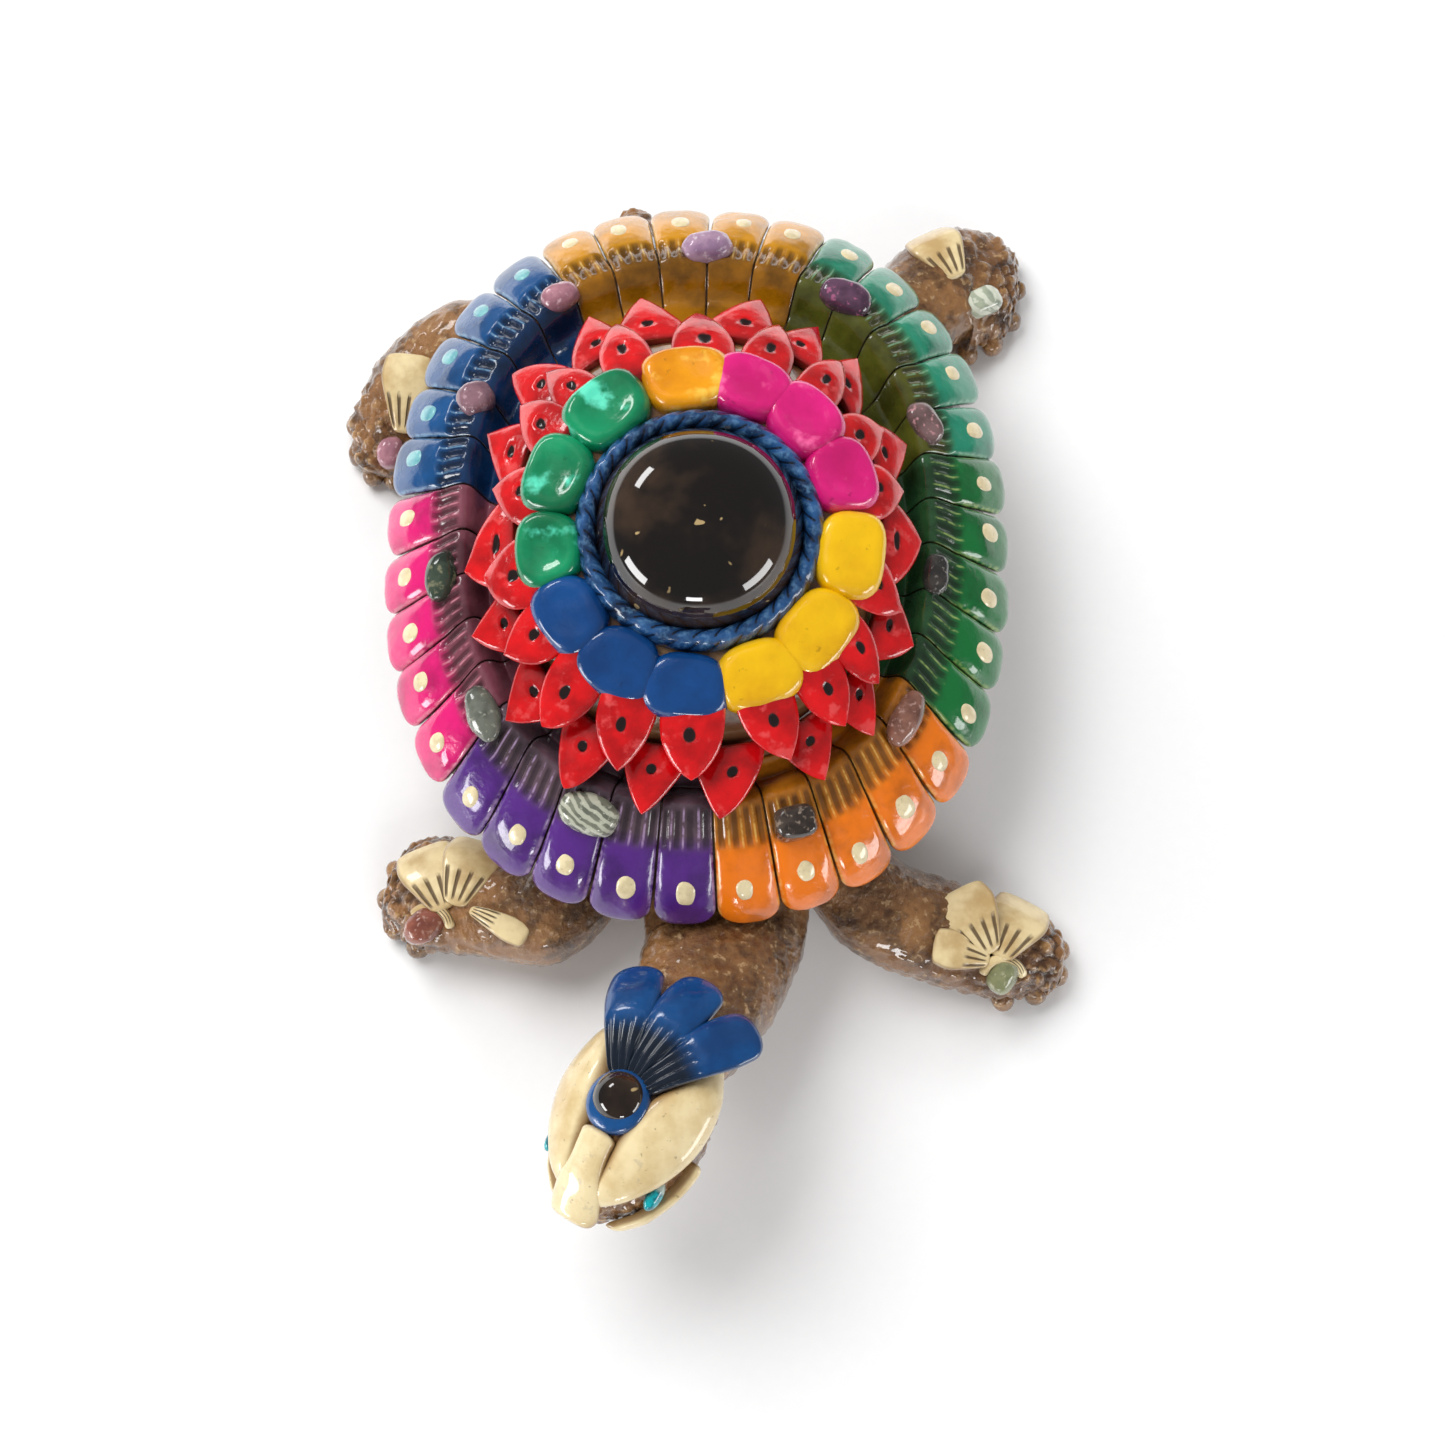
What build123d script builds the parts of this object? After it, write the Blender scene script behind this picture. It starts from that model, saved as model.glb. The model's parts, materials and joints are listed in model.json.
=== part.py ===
from build123d import *
import math
import os

# A folk-art turtle figurine of hand-modelled clay under gloss varnish, in millimetres.
#
# A hollow torso bowl carries a domed, brimmed carapace. Everything else is a separate piece that the
# maker pressed on: painted feather tongues round the brim, two rows of red petals on the flank, a ring
# of coloured pads, a rope ring and a polished obsidian dome on top. Tumbled stones and shell inlays sit
# in sockets. The head wears a mask of cream plates and a blue crest, and each foot a fan-shaped cuff.
#
# +Z is up, the head points to -Y and the turtle's own left is +X. The origin is the centre of the
# bounding box's underside. All of it is drawn about the middle of the shell and shifted there at the end.
# Nothing on the figurine moves: every joint between two pieces is a bonded seat.

# ---- obsidian and rope ring, which set how wide the crown is
OBSIDIAN_RADIUS = 27.4
OBSIDIAN_RISE = 21.0
RING_GAP = 0.2              # between the obsidian's edge and the rope ring
RING_INNER = OBSIDIAN_RADIUS + RING_GAP
RING_WIDTH = 4.8
RING_RISE = 5.2
PAD_STEP = 7.4              # from the rope ring's outer edge to the middle of the pads
PAD_RING = RING_INNER + RING_WIDTH + PAD_STEP
SHOULDER_SIDE = 3.2         # the crown's edge outside the pads' middle, at the sides
SHOULDER_END = 7.2          # and at the ends

# ---- shell
SQUARENESS = 2.3            # exponent of the ovals, 2 is an ellipse
SHELL_HALF_WIDTH = 80.5     # at the rim, under the feathers
SHELL_HALF_LENGTH = 99.5
SHELL_MIDDLE = 3.5          # how far back the rim's middle lies from the crown's frame
SEAM_STEP = 5.5             # the seam with the torso stands in from the rim
SEAM_HEIGHT = 33
CROWN_HEIGHT = 78
TOP_TILT = 5                # degrees the crown leans to the front
SHELL_WALL = 6.0
CROWN_WALL = 12.0           # clay under the crown's flat
FEATHER_OVERHANG = 4.0      # the feathers reach out past the rim

# outlines are rounded ovals: (centre x, centre y, half width, half length, height)
CROWN = (PAD_RING + SHOULDER_SIDE, PAD_RING + SHOULDER_END)
REACH = (SHELL_HALF_WIDTH - CROWN[0], SHELL_HALF_LENGTH - CROWN[1])
RIM = (0, SHELL_MIDDLE, SHELL_HALF_WIDTH, SHELL_HALF_LENGTH, SEAM_HEIGHT + 5.5)
SEAM = (0, SHELL_MIDDLE, SHELL_HALF_WIDTH - SEAM_STEP, SHELL_HALF_LENGTH - SEAM_STEP, SEAM_HEIGHT)
FEATHER_TIP = (0, SHELL_MIDDLE, SHELL_HALF_WIDTH + FEATHER_OVERHANG,
               SHELL_HALF_LENGTH + FEATHER_OVERHANG, RIM[4])
TOP = (1, -5.0, CROWN[0], CROWN[1], CROWN_HEIGHT)


def slope(across, along, x, y, height):
    """An outline on the shell's slope, its place given as shares of the way from crown to rim."""
    return (x, y, CROWN[0] + across * REACH[0], CROWN[1] + along * REACH[1], height)


INLAY_LINE = slope(0.90, 0.93, 0, 3.0, RIM[4] + 7.8)
COMB_LINE = slope(0.76, 0.79, 0, 3.5, RIM[4] + 12.5)
LIP = slope(0.547, 0.60, 0, 5.0, RIM[4] + 18)
VALLEY = slope(0.387, 0.457, 0, 3.0, RIM[4] + 12.5)
ROOT = slope(0.24, 0.314, 0, 0.0, CROWN_HEIGHT - 21)
FLANK = slope(0.107, 0.133, 0, -3.0, CROWN_HEIGHT - 8)

# ---- torso, its outlines stepped in from the seam
BELLY_HEIGHT = 4.0
BELLY = (0, 2.0, SEAM[2] - 29, SEAM[3] - 32, BELLY_HEIGHT)
BILGE = (0, 3.0, SEAM[2] - 15, SEAM[3] - 16, BELLY_HEIGHT + 7)
WAIST = (0, SHELL_MIDDLE, SEAM[2] - 5, SEAM[3] - 5, SEAM_HEIGHT - 10)
TORSO_WALL = 6.0
TORSO_STEP = 4.0            # the torso's top edge stands in from the carapace's edge by this much

# ---- brim feathers
SECTORS = ["gold", "blue", "pink", "purple", "orange", "green", "teal"]
PER_SECTOR = 5
FIRST_EDGE = 67.0           # degrees, where the gold sector starts, counted anticlockwise from +X
FEATHER_GAP = 0.35
FEATHER_THICK = 5.4
FEATHER_ROOT_THICK = 3.2
FEATHER_LIFT = 0.9          # the tongues' middle lies this far over the carapace

# ---- inlays
INLAY_LONG = 3.1
INLAY_WIDE = 2.1
INLAY_DEEP = 1.3

# ---- petals
PETALS = 18
PETAL_THICK = 3.6
OUTER_TIP = slope(0.493, 0.543, -1.0, -3.5, CROWN_HEIGHT - 16.5)
OUTER_BASE = slope(0.139, 0.168, 0.5, -3.5, CROWN_HEIGHT - 9.5)
INNER_TIP = slope(0.347, 0.371, 0, -4.5, CROWN_HEIGHT - 9.5)
INNER_BASE = slope(0.027, 0.025, 1, -5.0, CROWN_HEIGHT - 1)
PETAL_FULL = 0.88           # widest width as a share of the pitch between petals in a row
HOLE_RADIUS = 1.25

# ---- pads: angle in degrees, half width along the ring in degrees, half width across it, colour
PAD_THICK = 5.4
PADS = [
    (95, 15.5, 9.2, "gold"), (70, 14.0, 8.8, "pink"), (46, 14.0, 8.8, "pink"), (21, 13.6, 8.8, "pink"),
    (-9, 15.6, 8.9, "yellow"), (-40, 15.2, 8.8, "yellow"), (-67, 15.2, 8.5, "yellow"),
    (-95, 15.2, 8.4, "blue"), (-121, 14.4, 8.7, "blue"), (-147, 14.2, 8.5, "blue"),
    (-173, 13.8, 8.5, "green"), (159, 14.6, 9.0, "green"), (128, 15.6, 9.4, "green"),
]

# ---- tumbled stones on the brim: name, angle round the lip, step out from it, height over the rim,
# turn in degrees, half length, half width, half height
STONES = [
    ("amethyst_back_stone", 88.5, 5.0, 19.5, 8, 7.2, 4.6, 3.8),
    ("plum_amethyst_stone", 54.0, 3.0, 19.5, -20, 7.6, 4.8, 4.0),
    ("rose_quartz_stone", 123.5, 1.2, 19.5, 20, 5.6, 4.2, 3.8),
    ("mauve_quartz_stone", 156.0, 3.0, 19, 25, 5.2, 5.0, 3.8),
    ("moss_agate_stone", -172.5, 6.4, 18, 80, 7.2, 4.3, 3.8),
    ("grey_jade_stone", -143.5, 5.8, 19, -72, 7.8, 4.5, 3.8),
    ("banded_agate_stone", -110.5, 7.6, 18.5, -18, 8.0, 5.2, 4.2),
    ("smoky_quartz_stone", -71.5, 9.2, 18.5, 14, 5.6, 4.6, 4.2),
    ("brown_jasper_stone", -38.0, 5.8, 19, 66, 8.2, 4.0, 3.8),
    ("pink_grey_agate_stone", 18.5, 2.4, 19, -60, 6.6, 4.2, 3.6),
    ("black_agate_stone", -8.0, 1.7, 19, 84, 6.0, 3.6, 3.4),
]

# ---- legs: hip angle round the seam, then centre line points as steps from the hip (x, y) with heights
LEG_LINES = {
    "front_left": (-62, [(-5, 5, 19), (11, -11, 16), (27, -17, 12), (45, -22, 8.5), (59, -24, 5.5)]),
    "front_right": (-116, [(6.5, 6, 19), (-3.5, -11, 16), (-19.5, -10, 12), (-35.5, -5, 8.5), (-46.5, -2, 5.5)]),
    "rear_left": (52, [(-3, -14, 19), (11, 4, 16), (22, 17, 12), (33, 20, 8.5), (43, 18, 5.5)]),
    "rear_right": (130, [(3, -10, 19), (-15, 0, 16), (-29, -6, 12), (-39, -20, 8.5), (-42, -34, 5.5)]),
}
LEG_WIDTHS = {
    "front_left": [13, 15, 15, 13.5, 9],
    "front_right": [13, 15, 14, 16, 13],
    "rear_left": [13, 15, 18, 20, 14],
    "rear_right": [13, 15, 14, 12.5, 9],
}
LEG_HEIGHTS = [12, 12.5, 12.2, 9.5, 7]
LEG_NOSE = 3.5              # how far the foot rounds over past its last section

# toes: clay pellets round the foot's front edge, at these angles from the foot's own direction
TOE_RADIUS = 3.4
TOE_ANGLES = [-80, -48, -16, 16, 48, 80]

# cuffs: step from the foot's middle, the fan's middle direction in degrees, lobe length, half width, lobes
CUFF_THICK = 3.4
CUFF_LIFT = 0.9
CUFF_SPREAD = 38            # degrees between lobes
CUFFS = {
    "front_left": ((-3, -4), 100, 15.5, 5.6, 3),
    "front_right": ((1, -5), 62, 18.0, 6.2, 3),
    "rear_left": ((-2, -3), 140, 15.0, 8.5, 1),
    "rear_right": ((1, -6), 84, 16.0, 7.0, 1),
}
# foot stones: step from the foot's middle, turn in degrees, half length, half width, half height
FOOT_STONES = {
    "front_left": (0, -9.0, 60, 5.0, 4.0, 3.8),
    "front_right": (-3.0, -10.5, 40, 5.8, 4.8, 4.2),
    "rear_left": (2.0, -8.0, 25, 6.4, 4.4, 4.0),
    "rear_right": (-0.5, -13.5, 75, 5.0, 4.0, 3.6),
}
STONE_SHOWING = 0.35        # share of a foot stone's half height that its middle stands over the skin

# ---- neck and head, placed from the front of the seam
SEAM_FRONT = SHELL_MIDDLE - SEAM[3]
NECK_LINE = [(8, SEAM_FRONT + 10.5, 21), (8, SEAM_FRONT - 7.5, 23), (3, SEAM_FRONT - 27.5, 31),
             (-6, SEAM_FRONT - 45.5, 40)]
NECK_WIDTHS = [25, 23, 20, 16]
NECK_HEIGHTS = [12, 12.5, 14, 14]
BROW_X, BROW_Y, BROW_Z = -19.5, SEAM_FRONT - 62, 61.0   # middle of the forehead, the head's own origin
HEAD_TURN = 238             # degrees, the way the snout points in plan
HEAD_ROLL = 20              # degrees, left cheek up
# skull sections: distance ahead of the brow, height below it, half width, half height
SKULL = [(-25, -15, 12, 9), (-14, -15, 18.5, 13.5), (0, -15, 20, 14.5), (12, -16, 16.5, 12.5),
         (21, -17.5, 11, 9.5), (27.5, -19, 5.5, 5.5)]
# plates as runs of (distance ahead, degrees round from the top, half width, half thickness)
PLATE_LIFT = 0.8
BROW_PLATE = [(-20, 52, 2.6, 1.2), (-12, 50, 6.8, 2.0), (0, 45, 8.4, 2.4), (11, 42, 6.8, 2.1),
              (20, 44, 3.4, 1.5)]
JAW_PLATE = [(4, 108, 1.4, 1.0), (11, 110, 3.0, 1.7), (18, 112, 3.0, 1.8), (24, 112, 1.4, 1.2)]
NOSE_RIDGE = [(9.5, 0, 3.4, 1.8), (15, 0, 3.8, 2.2), (21, 0, 4.6, 2.8), (26, 0, 5.4, 3.6), (29, 0, 3.4, 2.4)]
EYE_AHEAD, EYE_ROUND = 15.0, 80
EYE_LONG, EYE_HIGH, EYE_DEEP = 4.4, 2.6, 1.8
BEZEL_RADIUS = 8.6
BEZEL_RISE = 5.4
BEZEL_SINK = 1.6
FOREHEAD_STONE_RADIUS = 6.4
FOREHEAD_STONE_RISE = 5.4
CREST_ANGLES = [-29, 0, 29]
CREST_LENGTH = 39.0
CREST_WIDTH = 7.6
CREST_THICK = 4.4

# ---- tail, from the back of the seam
SEAM_BACK = SHELL_MIDDLE + SEAM[3]
TAIL_LINE = [(-14, SEAM_BACK - 11.5, 20), (-17, SEAM_BACK + 6.5, 18), (-19.5, SEAM_BACK + 21.5, 14)]
TAIL_WIDTHS = [13, 10, 6]
TAIL_HEIGHTS = [9, 7.5, 4.5]


def oval_point(oval, angle, lift=0.0):
    """The point of an oval outline at an angle in degrees, with the crown's lean left out."""
    cx, cy, rx, ry, z = oval
    c, s = math.cos(math.radians(angle)), math.sin(math.radians(angle))
    power = 2 / SQUARENESS
    return Vector(
        cx + rx * math.copysign(abs(c) ** power, c),
        cy + ry * math.copysign(abs(s) ** power, s),
        z + lift,
    )


def grown(oval, by, z=None):
    """An oval with its edge moved out by a distance, and its height set if one is given."""
    cx, cy, rx, ry, height = oval
    return (cx, cy, rx + by, ry + by, height if z is None else z)


def oval_face(oval, tilt=0.0, count=24):
    """A flat face inside an oval outline, leaning to the front by tilt degrees."""
    cx, cy, _, _, z = oval
    points = [oval_point(oval, 360 * i / count) for i in range(count)]
    face = make_face(Spline(*points, periodic=True))
    return face.rotate(Axis((cx, cy, z), (1, 0, 0)), tilt) if tilt else face


def stacked(ovals, tilts=None):
    """A solid whose side runs straight from each oval outline to the next."""
    tilts = tilts or [0] * len(ovals)
    return loft([oval_face(o, t) for o, t in zip(ovals, tilts)], ruled=True)


def tongue(points, widths, heights, ups):
    """A smooth solid through elliptical sections along a line of points."""
    points = [Vector(*p) for p in points]
    sections = []
    for i, point in enumerate(points):
        ahead = points[min(i + 1, len(points) - 1)] - points[max(i - 1, 0)]
        up = Vector(*ups[i]) if isinstance(ups, list) else Vector(*ups)
        across = up.cross(ahead).normalized()
        sections.append(Plane(point, x_dir=across, z_dir=ahead) * Ellipse(widths[i], heights[i]))
    return loft(sections)


def pebble(x, y, z, turn, long, wide, high):
    """An ellipsoid, its long axis turned from +X in plan."""
    return Pos(x, y, z) * Rot(0, 0, turn) * scale(Sphere(1), by=(long, wide, high))


def near(a, b):
    """Whether two solids' boxes meet."""
    p, q = a.bounding_box(), b.bounding_box()
    return all(
        getattr(p.min, k) <= getattr(q.max, k) and getattr(q.min, k) <= getattr(p.max, k) for k in "XYZ"
    )


def seated(piece, *bases):
    """A piece with everything that lies inside its bases taken off, largest solid kept."""
    for base in bases:
        if near(piece, base):
            piece = piece - base
    return max(piece.solids(), key=lambda s: s.volume)


def brim_stone(angle, step, rise, turn, *sizes):
    """A tumbled stone in the lip of the brim."""
    place = oval_point(LIP, angle)
    out = Vector(place.X - LIP[0], place.Y - LIP[1], 0).normalized() * step
    return pebble(place.X + out.X, place.Y + out.Y, RIM[4] + rise, turn, *sizes)


def carapace_outside():
    """The brimmed dome, solid."""
    ovals = [SEAM, RIM, COMB_LINE, LIP, VALLEY, ROOT, FLANK, TOP]
    return stacked(ovals, [0, 0, 0, 0, 0, 0, TOP_TILT, TOP_TILT])


def carapace_hollow():
    """The room under the dome, open below."""
    return stacked(
        [
            grown(SEAM, -2 * SHELL_WALL, SEAM[4] - 1),
            grown(VALLEY, -SHELL_WALL, VALLEY[4] - SHELL_WALL),
            grown(FLANK, -SHELL_WALL, CROWN_HEIGHT - CROWN_WALL - SHELL_WALL),
            grown(TOP, -2 * SHELL_WALL, CROWN_HEIGHT - CROWN_WALL),
        ]
    )


def torso():
    """The hollow bowl under the carapace, flat on its underside."""
    top = grown(SEAM, -TORSO_STEP)
    inner_floor = BELLY_HEIGHT + TORSO_WALL
    outer = stacked([BELLY, BILGE, WAIST, top])
    hollow = stacked(
        [
            grown(BELLY, -TORSO_WALL, inner_floor),
            grown(WAIST, -TORSO_WALL),
            grown(top, -TORSO_WALL, SEAM[4] + 1),
        ]
    )
    return outer - hollow


def brim_edges():
    """Angles of the edges between feathers, evenly spaced along the tips' outline."""
    count = len(SECTORS) * PER_SECTOR
    steps = 720
    angles = [FIRST_EDGE + 360 * i / steps for i in range(steps + 1)]
    places = [oval_point(FEATHER_TIP, a) for a in angles]
    run = [0.0]
    for a, b in zip(places, places[1:]):
        run.append(run[-1] + (b - a).length)
    edges, k = [], 0
    for i in range(count + 1):
        while k < steps and run[k] < run[-1] * i / count - 1e-9:
            k += 1
        edges.append(angles[k])
    return edges


def feather(left, right):
    """One tongue of the brim between two edge angles, from under the petals to its rounded tip."""
    # outline, share of the room between its neighbours, half thickness
    stations = [
        (ROOT, 0.96, FEATHER_ROOT_THICK / 2),
        (VALLEY, 0.96, FEATHER_ROOT_THICK / 2),
        (LIP, 0.97, FEATHER_ROOT_THICK / 2),
        (COMB_LINE, 0.98, FEATHER_THICK / 2.2),
        (INLAY_LINE, 0.98, FEATHER_THICK / 2),
        (grown(FEATHER_TIP, -1.5), 0.86, FEATHER_THICK / 2.4),
        (grown(FEATHER_TIP, 1.5, FEATHER_TIP[4] - 1.5), 0.42, FEATHER_THICK / 5),
    ]
    pairs = [(oval_point(o, left, FEATHER_LIFT), oval_point(o, right, FEATHER_LIFT)) for o, _, _ in stations]
    points = [(a + b) / 2 for a, b in pairs]
    widths = []
    for i, (a, b) in enumerate(pairs):
        ahead = points[min(i + 1, len(points) - 1)] - points[max(i - 1, 0)]
        across = Vector(-ahead.Y, ahead.X, 0).normalized()
        widths.append((abs((b - a).dot(across)) - FEATHER_GAP) * stations[i][1] / 2)
    return tongue(points, widths, [t for _, _, t in stations], (0, 0, 1))


def inlay(left, right):
    """A small oval of shell, on the feather between two edge angles."""
    middle = (left + right) / 2
    out = oval_point(INLAY_LINE, middle) - oval_point(COMB_LINE, middle)
    normal = out.cross(Vector(-out.Y, out.X, 0)).normalized()
    normal = normal if normal.Z > 0 else -normal
    place = oval_point(INLAY_LINE, middle, FEATHER_LIFT) + normal * (FEATHER_THICK / 2 - 0.3)
    return Plane(place, x_dir=out, z_dir=normal) * scale(Sphere(1), by=(INLAY_LONG, INLAY_WIDE, INLAY_DEEP))


def petal(base, tip, middle, pitch):
    """A pointed red leaf with a pierced eye near its root."""
    a, b = oval_point(base, middle), oval_point(tip, middle)
    left, right = oval_point(base, middle - pitch / 2), oval_point(base, middle + pitch / 2)
    room = (left - right).length * PETAL_FULL / 2
    # share of the length, share of the room, half thickness as a share, rise over the straight line
    stations = [(0, 0.62, 0.42, 0.0), (0.28, 1.05, 0.5, 0.9), (0.55, 0.98, 0.48, 0.7),
                (0.8, 0.52, 0.36, 0.1), (1, 0.1, 0.12, 0.3)]
    run = b - a
    side = Vector(-run.Y, run.X, 0).normalized()
    up = run.cross(side).normalized()
    up = up if up.Z > 0 else -up
    points = [a + run * s + up * rise for s, _, _, rise in stations]
    leaf = tongue(points, [room * w for _, w, _, _ in stations],
                  [PETAL_THICK * t for _, _, t, _ in stations], up)
    eye = Plane(a + run * 0.3, z_dir=up) * Cylinder(HOLE_RADIUS, 3 * PETAL_THICK)
    return leaf - eye


def crown_plane():
    """The leaning flat on top of the carapace."""
    return Plane((TOP[0], TOP[1], TOP[4]), x_dir=(1, 0, 0),
                 z_dir=(0, -math.sin(math.radians(TOP_TILT)), math.cos(math.radians(TOP_TILT))))


def obsidian():
    """The polished dome, flat where it is bonded."""
    dome = scale(Sphere(1), by=(OBSIDIAN_RADIUS, OBSIDIAN_RADIUS, OBSIDIAN_RISE))
    size = 2 * OBSIDIAN_RADIUS
    return crown_plane() * (dome & Pos(0, 0, size / 2) * Box(size, size, size))


def rope_ring():
    """The ring round the obsidian, an oval section swept round it and flat below."""
    middle = RING_INNER + RING_WIDTH / 2
    ring = revolve(Plane.XZ * Pos(middle, 0) * Ellipse(RING_WIDTH / 2, RING_RISE), Axis.Z)
    size = 3 * middle
    return crown_plane() * (ring & Pos(0, 0, size / 2) * Box(size, size, size))


def pad(angle, spread, across):
    """A pillow of clay beside the rope ring, spread degrees to each side of its middle."""
    along = PAD_RING * math.radians(spread)
    c, s = math.cos(math.radians(angle)), math.sin(math.radians(angle))
    body = scale(Sphere(1), by=(across, along, PAD_THICK))
    place = Pos(PAD_RING * c, PAD_RING * s * 1.05, -0.8) * Rot(0, 0, angle) * Rot(0, 14, 0)
    return crown_plane() * (place * body)


def head_plane():
    """The head's own frame: +X to the snout, +Y to the turtle's left, +Z out of the forehead."""
    turn = Rot(0, 0, HEAD_TURN)
    return Location((BROW_X, BROW_Y, BROW_Z)) * turn * Rot(HEAD_ROLL, 0, 0)


def skull():
    """The brown head under the mask."""
    points = [(a, 0, h) for a, h, _, _ in SKULL]
    return tongue(points, [w for _, _, w, _ in SKULL], [t for _, _, _, t in SKULL], (0, 0, 1))


def between(rows, x):
    """A table's row at x by straight interpolation on its first column."""
    for a, b in zip(rows, rows[1:]):
        if x <= b[0]:
            break
    share = (x - a[0]) / (b[0] - a[0])
    return [p + (q - p) * share for p, q in zip(a, b)]


def on_skull(ahead, degrees, lift):
    """A point over the skull's skin and the way out of it, a distance ahead and an angle from the top."""
    _, height, wide, tall = between(SKULL, ahead)
    c, s = math.cos(math.radians(degrees)), math.sin(math.radians(degrees))
    out = Vector(0, s * tall, c * wide).normalized()
    return Vector(ahead, s * wide, height + c * tall) + out * lift, out


def plate(rows, side):
    """A leaf of clay on the skull; side is 1 on the left and -1 on the right."""
    places = [on_skull(ahead, side * degrees, PLATE_LIFT) for ahead, degrees, _, _ in rows]
    return tongue([p for p, _ in places], [w for _, _, w, _ in rows], [t for _, _, _, t in rows],
                  [u for _, u in places])


def eye(side):
    """A cabochon of turquoise glass in the slit between the plates."""
    place, out = on_skull(EYE_AHEAD, side * EYE_ROUND, 0)
    return Plane(place, x_dir=(1, 0, 0), z_dir=out) * scale(Sphere(1), by=(EYE_LONG, EYE_HIGH, EYE_DEEP))


def bezel():
    """The blue cup on the forehead."""
    return Pos(0, 0, -BEZEL_SINK) * scale(Sphere(1), by=(BEZEL_RADIUS, BEZEL_RADIUS, BEZEL_RISE))


def forehead_stone():
    """The small obsidian dome in the bezel."""
    return Pos(0.8, 0, 0.2) * scale(
        Sphere(1), by=(FOREHEAD_STONE_RADIUS, FOREHEAD_STONE_RADIUS, FOREHEAD_STONE_RISE)
    )


def crest_feather(angle):
    """One blue tongue of the crest, from the bezel back over the neck."""
    c, s = -math.cos(math.radians(angle)), -math.sin(math.radians(angle))
    # distance from the bezel, height, half width and half thickness as shares
    stations = [(7.0, -0.6, 0.44, 0.42), (15, -0.6, 0.62, 0.48), (25, -2.4, 0.9, 0.5),
                (33, -5.4, 1.0, 0.5), (CREST_LENGTH, -8.8, 0.5, 0.3)]
    points = [(c * r, s * r, h) for r, h, _, _ in stations]
    return tongue(points, [CREST_WIDTH * w for _, _, w, _ in stations],
                  [CREST_THICK * t for _, _, _, t in stations], (0, 0, 1))


def leg_line(name):
    """The points of one leg's centre line, from its hip on the seam."""
    angle, steps = LEG_LINES[name]
    hip = oval_point(SEAM, angle)
    return [(hip.X + x, hip.Y + y, z) for x, y, z in steps]


def leg(name):
    """One flipper, its sole cut flat on the floor."""
    line, widths, heights = leg_line(name), list(LEG_WIDTHS[name]), list(LEG_HEIGHTS)
    a, b = Vector(*line[-2]), Vector(*line[-1])
    line.append(tuple(b + (b - a).normalized() * LEG_NOSE))
    widths.append(widths[-1] * 0.6)
    heights.append(heights[-1] * 0.6)
    return limb(line, widths, heights)


def leg_skin(name, x, y):
    """The height of a leg's upper skin over a point in plan."""
    place = Vector(x, y, 0)
    best = None
    line, widths = leg_line(name), LEG_WIDTHS[name]
    for i in range(len(line) - 1):
        a, b = Vector(*line[i][:2], 0), Vector(*line[i + 1][:2], 0)
        share = min(max((place - a).dot(b - a) / (b - a).length ** 2, 0), 1)
        off = (a + (b - a) * share - place).length
        z, wide, tall = [p + (q - p) * share for p, q in (
            (line[i][2], line[i + 1][2]), (widths[i], widths[i + 1]), (LEG_HEIGHTS[i], LEG_HEIGHTS[i + 1])
        )]
        if best is None or off < best[0]:
            best = (off, z + tall * math.sqrt(max(1 - (off / wide) ** 2, 0.03)))
    return best[1]


def limb(line, widths, heights):
    """A fleshy tongue with its underside cut flat where it would reach below the floor."""
    body = tongue(line, widths, heights, (0, 0, 1))
    room = 500
    return body & Pos(0, 0, room / 2) * Box(room, room, room)


def toes(name):
    """Clay pellets round the front edge of one foot."""
    line = leg_line(name)
    a, b = Vector(*line[-2][:2], 0), Vector(*line[-1][:2], 0)
    along = (b - a).normalized()
    across = Vector(-along.Y, along.X, 0)
    reach, half = (b - a).length + LEG_NOSE, LEG_WIDTHS[name][-2]
    pellets = []
    for angle in TOE_ANGLES:
        c, s = math.cos(math.radians(angle)), math.sin(math.radians(angle))
        place = a + along * (reach * c) + across * (half * s * 0.94)
        pellets.append(pebble(place.X, place.Y, TOE_RADIUS + 0.5, 0, TOE_RADIUS, TOE_RADIUS, TOE_RADIUS))
    return pellets


def cuff(name):
    """Cream lobes that fan out over the top of one foot."""
    (dx, dy), middle, length, wide, count = CUFFS[name]
    x, y = leg_line(name)[3][0] + dx, leg_line(name)[3][1] + dy
    lobes = []
    for i in range(count):
        angle = math.radians(middle + (i - (count - 1) / 2) * CUFF_SPREAD)
        c, s = math.cos(angle), math.sin(angle)
        stations = [(1.5, 0.5, 0.3), (0.4 * length, 0.78, 0.5), (0.75 * length, 1.0, 0.5), (length, 0.5, 0.3)]
        points = [(x + c * r, y + s * r, leg_skin(name, x + c * r, y + s * r) + CUFF_LIFT)
                  for r, _, _ in stations]
        lobes.append(tongue(points, [wide * w for _, w, _ in stations],
                            [CUFF_THICK * t for _, _, t in stations], (0, 0, 1)))
    return lobes


def foot_stone(name):
    """The tumbled stone set in the top of one foot."""
    dx, dy, turn, long, wide, high = FOOT_STONES[name]
    x, y = leg_line(name)[3][0] + dx, leg_line(name)[3][1] + dy
    return pebble(x, y, leg_skin(name, x, y) + STONE_SHOWING * high, turn, long, wide, high)


def apart(pieces):
    """Neighbouring pieces of one kind, each cut back where the one before it lies."""
    kept = []
    for piece in pieces:
        kept.append(seated(piece, *kept))
    return kept


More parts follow.
